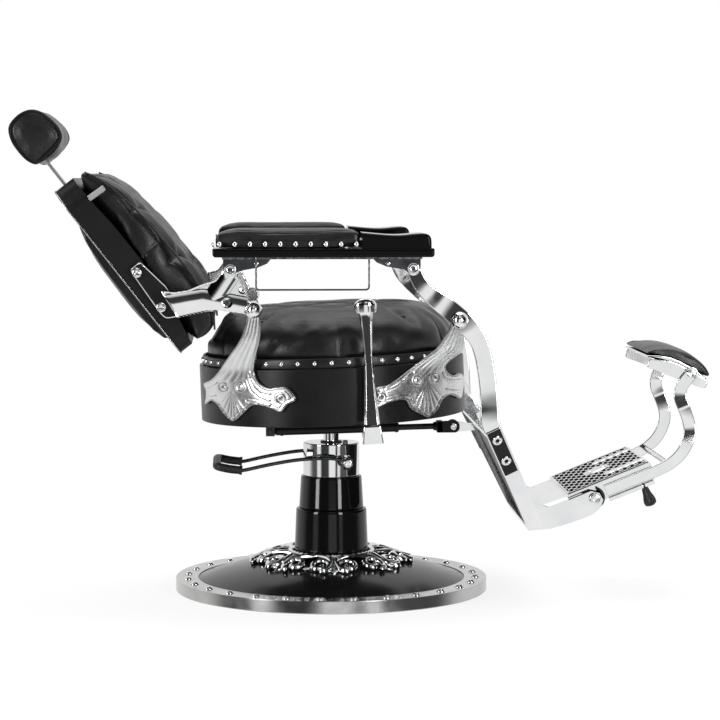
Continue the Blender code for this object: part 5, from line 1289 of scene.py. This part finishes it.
def make_headrest():
    refined("headrest_post", "headrest", "brushed_steel", 0.0012)
    outline = smooth(HEAD_SECTION, 6, True)
    obj = soft("headrest_leather", slab(outline, -HEAD_HALF, HEAD_HALF, 0.011, 5, BACK), 0.0036, 2, 0.006)
    middle = np.array([0.031, 0.443])

    def polar(flat):
        away = flat - middle
        return np.arctan2(away[:, 1], away[:, 0]), np.linalg.norm(away, axis=1)

    angles, radii = polar(np.array(outline))
    order = np.argsort(angles)

    def seams(points, normals):
        at = local(points, BACK)
        angle, radius = polar(at[:, [0, 2]])
        inside = np.interp(angle, angles[order], radii[order], period=TAU) - radius
        ends = ease(np.abs(at[:, 1]), 0.095, 0.108)
        groove = 0.0022 * hill(inside - 0.0085, 0.0024) * ends
        swell = 0.003 * ease(inside, 0.01, 0.034) * ends
        band = 0.0016 * hill(np.abs(at[:, 1]) - 0.098, 0.0022) * (1 - ends)
        return normals * (swell - groove - band)[:, None]

    push(obj, seams)
    settle(obj, "headrest", "leather", ("headrest_cushion",), 60)
    for name, side in SIDES:
        welt = [in_back(n, side * 0.1085, s) for n, s in shrunk(outline, 0.0045)]
        piece("headrest_welt_" + name, tube(welt, 0.0019, 10, closed=True, up=(0, 1, 0)), "headrest",
              "leather")
    profile = smooth([(0.0, 0.02), (0.0065, 0.0192), (0.0105, 0.016), (0.0112, 0.0115), (0.008, 0.007)], 4)
    profile += [(0.007, 0.004), (0.004, 0.004), (0.004, -0.0074), (0.0, -0.0074)]
    place = BACK @ Matrix.Translation((0.0, 0.0, 0.285)) @ Matrix.Rotation(-math.pi / 2, 4, "Y")
    grips = lathe(profile, 72, ripple=lambda angle, height: 1 + (0.05 * np.cos(12 * angle) if height > 0.008
                                                                 else 0.0))
    piece("headrest_lock_knob", moved(grips, place), "headrest_knob", "chrome", ("headrest_knob",), 60)


# ------------------------------------------------------------------ armrests
PLINTH = [(-0.2385, 0.704), (-0.242, 0.7085), (-0.242, 0.7213), (0.187, 0.7213), (0.187, 0.708),
    (0.1835, 0.704)]
NOSE_TOP = [(0.062, 0.7502), (0.08, 0.7485), (0.105, 0.7468), (0.125, 0.747), (0.148, 0.7492),
    (0.164, 0.75), (0.1745, 0.748), (0.18, 0.742), (0.1815, 0.732)]
ARM_PAD = [(-0.2375, 0.7222), (-0.2412, 0.73), (-0.2405, 0.742), (-0.233, 0.7515), (-0.212, 0.757),
    (-0.12, 0.7582), (0.02, 0.758), (0.0405, 0.756), (0.0462, 0.748), (0.0462, 0.726), (0.044, 0.7222)]
ARM_BOLT_FACE = 0.3098
ARM_NAIL_HEIGHT = 0.729


def make_armrest(name, side):
    body = "armrest_" + name
    middle = side * ARM_MIDDLE
    nose = [(0.047, 0.7515)] + smooth(NOSE_TOP, 5) + [(0.1815, 0.718), (0.047, 0.718)]
    shape = joined(slab(fillet(PLINTH, 0.003, 4), middle - 0.055, middle + 0.055, 0.004, 5),
                   slab(nose, middle - 0.0515, middle + 0.0515, 0.006, 6))
    piece("armrest_plinth_" + name, shape, body, "lacquer", ("armrest_base_" + name,), 50)
    inner, outer = side * (ARM_MIDDLE - 0.0495), side * (ARM_MIDDLE + 0.0525)
    obj = soft("armrest_pad_leather_" + name, slab(smooth(ARM_PAD, 4, True), inner, outer, 0.013, 5),
               0.0038, 2, 0.006, lambda points: points[:, 2] < 0.724, 0.8)

    def sew(points, normals):
        edge = np.minimum(np.abs(points[:, 1] - inner), np.abs(points[:, 1] - outer))
        seam = 0.0018 * hill(edge - 0.013, 0.0022) * ease(normals[:, 2], 0.5, 0.9)
        waist = 0.0012 * hill(points[:, 2] - ARM_NAIL_HEIGHT, 0.0045) * ease(np.abs(normals[:, 1]), 0.4,
                                                                             0.8)
        return -normals * (seam + waist)[:, None]

    push(obj, sew)
    settle(obj, body, "leather", ("armrest_pad_" + name, "armrest_nails_" + name), 60)
    row = np.linspace(-0.228, 0.036, 10)
    heads = [((x, outer - side * 0.0014, ARM_NAIL_HEIGHT), (0, side, 0)) for x in row]
    heads.append(((-0.2398, outer - side * 0.012, ARM_NAIL_HEIGHT), (-1, 0, 0)))
    piece("armrest_nail_heads_" + name, studs(heads, 0.0054), body, "chrome")
    refined("armrest_bracket_" + name, body, "dark_steel", 0.0008)
    bolts = []
    washer = collar(0.005, 0.0115, 0.0, 0.0016, 0.0006)
    for place in (ARM_REAR, ARM_FRONT):
        at = sideways(place, ARM_BOLT_FACE, side)
        bolts += [moved(washer, at), bolt(at, 0.0095, 0.0052)]
    for x in (-0.157, 0.1):
        bolts.append(bolt(sideways((x, 0.6905), ARM_BOLT_FACE, side), 0.0042, 0.002, False))
    piece("armrest_bolts_" + name, joined(*bolts), body, "chrome")


def make_rail():
    rear, front, y, bottom, top = -0.158, 0.0605, -0.356, 0.641, 0.7036
    line = fillet([(rear, top), (rear, bottom), (front, bottom), (front, top)], 0.007, 8, False)
    piece("towel_rail_wire", tube([(x, y, z) for x, z in line], 0.0018, 14), "armrest_right", "dark_steel",
          ("towel_rail",), 50)


# ------------------------------------------------------------------ leg frame
LEG_PATH = [(0.15, 0.68), (0.165, 0.648), (0.184, 0.628), (0.204, 0.612), (0.225, 0.596), (0.243, 0.58),
    (0.264, 0.558), (0.278, 0.538), (0.288, 0.511), (0.294, 0.48), (0.299, 0.441), (0.301, 0.404),
    (0.3025, 0.376), (0.3085, 0.362)]
# Shares of the way down the leg bar with its width, and with how far it stands inwards.
LEG_WIDTHS = [(0.0, 0.026), (0.12, 0.03), (0.25, 0.038), (0.38, 0.04), (0.55, 0.034), (0.8, 0.034),
    (1.0, 0.037)]
LEG_JOGS = [(0.0, 0.0032), (0.09, 0.0), (0.13, 0.0), (0.25, 0.0056), (0.27, 0.0056), (0.43, 0.0),
    (0.5, 0.0), (0.58, 0.003), (0.8, 0.003), (0.9, 0.0), (1.0, 0.0)]
LEG_MIDDLE = 0.2975
SHIN_TOP, SHIN_BOTTOM = 0.2922, 0.176
SHIN_HIGH, SHIN_LOW = -0.03, -0.249


def make_leg_bars():
    line = smooth(LEG_PATH, 6)
    share = np.linspace(0.0, 1.0, len(line))
    widths = np.interp(share, *zip(*LEG_WIDTHS))
    inward = np.interp(share, *zip(*LEG_JOGS))
    inward = np.convolve(np.pad(inward, 3, "edge"), np.ones(7) / 7, "valid")
    for name, side in SIDES:
        bar = flat_bar(line, widths, side * (LEG_MIDDLE - inward), 0.0098, 0.002)
        eye = moved(pin(0.014, 0.005, 0.0016, 4, 48), sideways(ARM_FRONT, LEG_MIDDLE, side))
        piece("leg_bar_forged_" + name, joined(bar, eye), "leg_frame", "chrome", ("leg_bar_" + name,), 50)


def shin_point(side, height):
    """A point on the line of the shin frame's sloping sides, at a height of its own frame."""
    half = SHIN_TOP - (SHIN_TOP - SHIN_BOTTOM) * (SHIN_HIGH - height) / (SHIN_HIGH - SHIN_LOW)
    return SHIN @ Vector((0.0, side * half, height))


def make_shin():
    refined("leg_casting", "leg_frame", "chrome", 0.002)
    refined("leg_panel", "leg_frame", "satin_black", 0.0008)
    front = SHIN.to_3x3() @ Vector((1, 0, 0))
    for name, side in SIDES:
        top, foot = shin_point(side, -0.014), shin_point(side, -0.114)
        up = (top - foot).normalized()
        out = front.cross(up)
        if out.y * side < 0:
            out = -out
        half = (top - foot).length / 2
        place = Matrix.Translation((top + foot) / 2) @ Matrix((front, out, up)).transposed().to_4x4()
        plate = fillet(rectangle((-0.016, -half), (0.014, half)), 0.002, 4)
        piece("shin_plate_" + name, slab(plate, -0.006, 0.0012, 0.0006, 2, place), "leg_frame",
              "satin_black")
        piece("shin_plate_rim_" + name, rim_tube(plate, 0.001, 0.0015, place), "leg_frame", "chrome")
        heads = [bolt(place @ facing((-0.001, 0.0, z), (0, 1, 0)), 0.0105, 0.0046)
                 for z in (half * 0.56, -half * 0.4)]
        piece("shin_bolts_" + name, joined(*heads), "leg_frame", "chrome")
    heads = [bolt(sideways(pivot("footrest_fold"), 0.1695, side), 0.0112, 0.0042) for _, side in SIDES]
    piece("hinge_bolts", joined(*heads), "leg_frame", "chrome")


# ------------------------------------------------------------------ footrest
TREAD_TOP, TREAD_REAR, TREAD_FRONT, TREAD_HALF = 0.0237, -0.048, 0.134, 0.146
BOSS_X = 0.04
HOLE_PITCH = (0.0084, 0.04)
HOLE_HALF = (0.005, 0.015)


def tread_height(x, y):
    """Relief of the tread: staggered oval pockets, raised channels in front and a round boss; the pocket
    share also marks where black is painted in as shade.
    """
    row = np.round(x / HOLE_PITCH[0])
    shift = np.where(row % 2 == 0, 0.0, 0.5)
    column = np.round(y / HOLE_PITCH[1] - shift) + shift
    u = (x - row * HOLE_PITCH[0]) / HOLE_HALF[0]
    v = (y - column * HOLE_PITCH[1]) / HOLE_HALF[1]
    reach = (np.abs(u) ** 3.0 + np.abs(v) ** 3.0) ** (1 / 3.0)
    strip = hill(np.abs(y) - 0.088, 0.0105, 6) * ease(x, 0.042, 0.05)
    r = np.hypot(x - BOSS_X, y)
    inside = (np.abs(y) < TREAD_HALF - 0.008) & (x > TREAD_REAR + 0.006) & (x < TREAD_FRONT - 0.006)
    inside &= (r > 0.028) & (strip < 0.15)
    pocket = (1 - ease(reach, 0.86, 1.1)) * inside
    boss = 0.0022 * ease(0.026 - r, 0.0, 0.003) + 0.0018 * hill(r, 0.0055)
    boss += 0.0012 * np.cos(np.arctan2(y, x - BOSS_X) * 8) * hill(r - 0.016, 0.006)
    return boss + 0.0024 * strip - 0.0004 * pocket, pocket


def make_tread():
    refined("foot_tread", "footrest", "chrome", 0.0012)
    xs = np.linspace(TREAD_REAR + 0.002, TREAD_FRONT - 0.002, 260)
    ys = np.linspace(-TREAD_HALF + 0.002, TREAD_HALF - 0.002, 260)
    x, y = np.meshgrid(xs, ys, indexing="ij")
    lift, pocket = tread_height(x, y)
    top = np.column_stack([x.ravel(), y.ravel(), (TREAD_TOP + 0.0024 + lift).ravel()])
    edge = ((x == xs[0]) | (x == xs[-1]) | (y == ys[0]) | (y == ys[-1])).ravel()
    top[edge, 2] = TREAD_TOP - 0.0006
    # Painted shade: faces wholly inside a pocket are split off and painted flat black, in place of the
    # shade of a deep pocket.
    pocket_shade_mask = pocket.ravel() > 0.12
    faces = {True: [], False: []}
    for face in strip_faces(len(xs), len(ys), wrap_columns=False):
        faces[bool(pocket_shade_mask[list(face)].all())].append(face)
    piece("tread_pattern", moved((top, faces[False]), TREAD), "footrest", "chrome", (), 80)
    piece("tread_pockets", moved((top, faces[True]), TREAD), "footrest", "black_enamel", (), 80)
    pivot_x, pivot_z = pivot("footrest_fold")
    outline = []
    for r, degrees in [(0.017, a) for a in range(-62, 70, 6)] + [(0.0232, a) for a in range(68, -64, -6)]:
        angle = math.radians(degrees + 8)
        outline.append((pivot_x + r * math.cos(angle), pivot_z + r * math.sin(angle)))
    for name, side in SIDES:
        shape = slab(fillet(outline, 0.001, 2), side * (TREAD_HALF - 0.001), side * 0.157, 0.001, 3)
        piece("hinge_bumper_" + name, shape, "footrest", "rubber")


def make_clamp_knobs():
    profile = [(0.0, -0.0122), (0.003, -0.0122), (0.003, -0.02)]
    profile += smooth([(0.0062, -0.0206), (0.007, -0.026), (0.0082, -0.034), (0.0106, -0.043),
                       (0.0117, -0.05), (0.0104, -0.0565), (0.006, -0.0594), (0.0, -0.06)], 5)
    shape = lathe(profile, 84, ripple=lambda angle, height: 1 + (0.1 * np.cos(6 * angle) if height < -0.022
                                                                 else 0.0))
    for name, side in SIDES:
        place = TREAD @ Matrix.Translation((0.105, side * 0.1505, 0.0))
        piece("clamp_grip_" + name, moved(shape, place), "clamp_knob_" + name, "rubber",
              ("clamp_knob_" + name,), 70)


# ------------------------------------------------------------------ calf rest
CALF_PATH = [(0.5555, 0.2195), (0.61, 0.241), (0.664, 0.2624), (0.686, 0.274), (0.706, 0.291),
    (0.72, 0.313), (0.727, 0.337), (0.7245, 0.36), (0.7155, 0.386), (0.707, 0.408), (0.7075, 0.426),
    (0.715, 0.441), (0.729, 0.459)]
CALF_TILT = pivot("calf_tilt")
CALF_HALF, PAD_HALF = 0.1505, 0.146
PAD_TOP = [(0.7715, 0.451), (0.764, 0.471), (0.747, 0.487), (0.726, 0.4985), (0.704, 0.5075),
    (0.682, 0.513), (0.662, 0.514), (0.645, 0.5105), (0.637, 0.5035)]
PAD_UNDER = [(0.6385, 0.497), (0.666, 0.4965), (0.686, 0.4935), (0.706, 0.4855), (0.738, 0.4685),
    (0.762, 0.448)]
SHELL_UNDER = [(0.756, 0.443), (0.733, 0.461), (0.703, 0.477), (0.665, 0.488), (0.643, 0.489)]
SHELL_LUG = [(0.765, 0.443), (0.759, 0.427), (0.74, 0.433), (0.706, 0.446), (0.673, 0.459), (0.638, 0.472),
    (0.643, 0.49), (0.685, 0.485), (0.705, 0.478), (0.735, 0.462)]


def above_shell(points):
    return points[:, 2] - np.interp(points[:, 0], *zip(*PAD_UNDER))


def make_calf_rest():
    line = smooth(CALF_PATH, 6)
    share = np.linspace(0.0, 1.0, len(line))
    inward = np.abs(0.0026 * np.sin(share * TAU * 1.9 + 1.3) * ease(share, 0.36, 0.56)
                    * ease(1 - share, 0.02, 0.16))
    parts = []
    for _, side in SIDES:
        parts.append(flat_bar(line, 0.0235 + 0.0025 * share, side * (CALF_HALF - inward), 0.006, 0.0018))
        parts.append(moved(pin(0.0135, 0.003, 0.0012), sideways(CALF_TILT, CALF_HALF, side)))
    parts.append(moved(pin(0.006, 0.1495, steps=32), facing((0.6845, 0, 0.2735), (0, 1, 0))))
    piece("calf_bars_forged", joined(*parts), "calf_bars", "chrome", ("calf_frame",), 50)
    plate = [(x, z - 0.0006) for x, z in PAD_UNDER] + SHELL_UNDER
    parts = [slab(fillet(plate, 0.003, 3), -PAD_HALF, PAD_HALF, 0.0022, 4)]
    for _, side in SIDES:
        parts.append(slab(fillet(SHELL_LUG, 0.006, 5), side * 0.1385, side * 0.1463, 0.0018, 4))
        parts.append(bolt(sideways(CALF_TILT, 0.153, side), 0.0095, 0.004))
    piece("calf_shell_moulded", joined(*parts), "calf_rest", "chrome", ("calf_shell",), 45)
    pad = slab(smooth(PAD_TOP + PAD_UNDER, 5, True), -PAD_HALF, PAD_HALF, 0.009, 5)
    obj = soft("calf_pad_leather", pad, 0.0038, 2, 0.006, lambda points: above_shell(points) < 0.0022)

    def sew(points, normals):
        upper = ease(normals[:, 2], 0.3, 0.8)
        groove = 0.0014 * hill(PAD_HALF - np.abs(points[:, 1]) - 0.01, 0.0024) * upper
        thickness = np.maximum(above_shell(points), 0.0)
        fall = 0.45 * thickness * (np.abs(points[:, 1]) / PAD_HALF) ** 2.4 * ease(0.735 - points[:, 0], 0.0,
                                                                                  0.085)
        return -normals * (groove + fall * upper)[:, None]

    push(obj, sew)
    settle(obj, "calf_rest", "leather", ("calf_pad",), 60)


# ------------------------------------------------------------------ studio
def shown(name, data):
    obj = bpy.data.objects.new(name, data)
    bpy.context.scene.collection.objects.link(obj)
    return obj


def soft_light(name, place, target, size, radiance):
    """A rectangular light; radiance is what a mirror would show of it."""
    light = bpy.data.lights.new(name, "AREA")
    light.shape = "RECTANGLE"
    light.size, light.size_y = size
    light.energy = radiance * math.pi * size[0] * size[1]
    obj = shown(name, light)
    obj.location = place
    obj.rotation_euler = (Vector(target) - Vector(place)).to_track_quat("-Z", "Y").to_euler()


# Greys of the surroundings by height, and shades across them by the turn round the chair, from -1 to 1.
SKY_TONES = [(-1.0, 0.92), (-0.45, 0.9), (-0.1, 0.9), (-0.05, 0.84), (-0.008, 0.45), (0.05, 0.05),
    (0.36, 0.03), (0.5, 0.75), (1.0, 0.9)]
FLAG_TONES = [(-1.0, 1.0), (-0.62, 1.0), (-0.52, 0.1), (-0.36, 0.1), (-0.33, 0.85), (-0.27, 0.85),
    (-0.23, 0.04), (-0.075, 0.06), (-0.05, 1.0), (0.07, 1.0), (0.092, 0.06), (0.12, 0.06), (0.135, 0.85),
    (0.18, 0.85), (0.2, 0.1), (0.52, 0.1), (0.62, 1.0), (1.0, 1.0)]


def make_world():
    """White surroundings with a dark gap above the horizon on the camera's side, for the polished metal."""
    world = bpy.data.worlds.new("studio")
    bpy.context.scene.world = world
    nodes = Nodes(world, "Generated")
    split = nodes.new("ShaderNodeSeparateXYZ", {0: nodes.place}).outputs
    toward = nodes.spread(split["Y"], 1.0, -1.0, -1.0, 1.0)
    around = nodes.new("ShaderNodeMath", {0: split["X"], 1: toward}, operation="ARCTAN2").outputs[0]
    turn = nodes.spread(around, -1.0, 1.0, -math.pi, math.pi)
    flags = nodes.mix(nodes.spread(split["Z"], 0.0, 1.0, -0.35, -0.75), nodes.tones(turn, FLAG_TONES), 1.0)
    sky = nodes.mix(1.0, nodes.tones(split["Z"], SKY_TONES), flags, "MULTIPLY")
    surroundings = nodes.mix(nodes.spread(split["Y"], 0.0, 1.0, -0.1, 0.35), sky, 0.8)
    seen = nodes.new("ShaderNodeLightPath").outputs["Is Camera Ray"]
    nodes.feed(nodes.tree.nodes["Background"].inputs["Color"], nodes.mix(seen, surroundings, 1.0))


def make_floor():
    bm = bmesh.new()
    bmesh.ops.create_circle(bm, cap_ends=True, segments=96, radius=40.0)
    floor = object_from(bm, "floor")
    pale = bpy.data.materials.new("pale_floor")
    nodes = Nodes(pale)
    reach = nodes.new("ShaderNodeVectorMath", {0: nodes.place}, operation="LENGTH").outputs["Value"]
    near, far = 0.7, 2.2
    values = {"Base Color": nodes.spread(reach, 0.3, 0.0, near, far), "Emission Color": 1.0,
              "Emission Strength": nodes.spread(reach, 0.78, 1.0, near, far), "Roughness": 0.9,
              "Specular IOR Level": 0.0}
    for key, value in values.items():
        nodes.feed(nodes.tree.nodes["Principled BSDF"].inputs[key], value)
    floor.data.materials.append(pale)
    floor.visible_glossy = False


def make_studio():
    make_world()
    make_floor()
    soft_light("strip_left", (-3.48, -2.53, 1.2), (0.0, 0.0, 0.45), (1.0, 2.4), 12.0)
    soft_light("strip_right", (2.05, -3.78, 1.2), (0.0, 0.0, 0.45), (0.9, 2.4), 12.0)
    soft_light("overhead", (0.1, 0.5, 3.0), (0.1, 0.0, 0.5), (2.4, 1.8), 2.0)
    data = bpy.data.cameras.new("camera")
    data.lens, data.sensor_width = 122.78, 36.0
    camera = shown("camera", data)
    yaw, pitch = 0.048282, 0.0745592
    view = Vector((math.sin(yaw) * math.cos(pitch), math.cos(yaw) * math.cos(pitch), -math.sin(pitch)))
    camera.location = (-0.18629, -5.1, 0.85941)
    camera.rotation_euler = view.to_track_quat("-Z", "Y").to_euler()
    bpy.context.scene.camera = camera
    bpy.context.scene.view_settings.view_transform = "Standard"


def make_chair():
    make_base()
    make_column()
    make_pump_lever()
    make_seat()
    make_brackets()
    make_recline_lever()
    make_strut()
    make_back_frame()
    make_back_cushion()
    make_back_panel()
    make_headrest()
    for name, side in SIDES:
        make_armrest(name, side)
    make_rail()
    make_leg_bars()
    make_shin()
    make_tread()
    make_clamp_knobs()
    make_calf_rest()


make_chair()
make_studio()
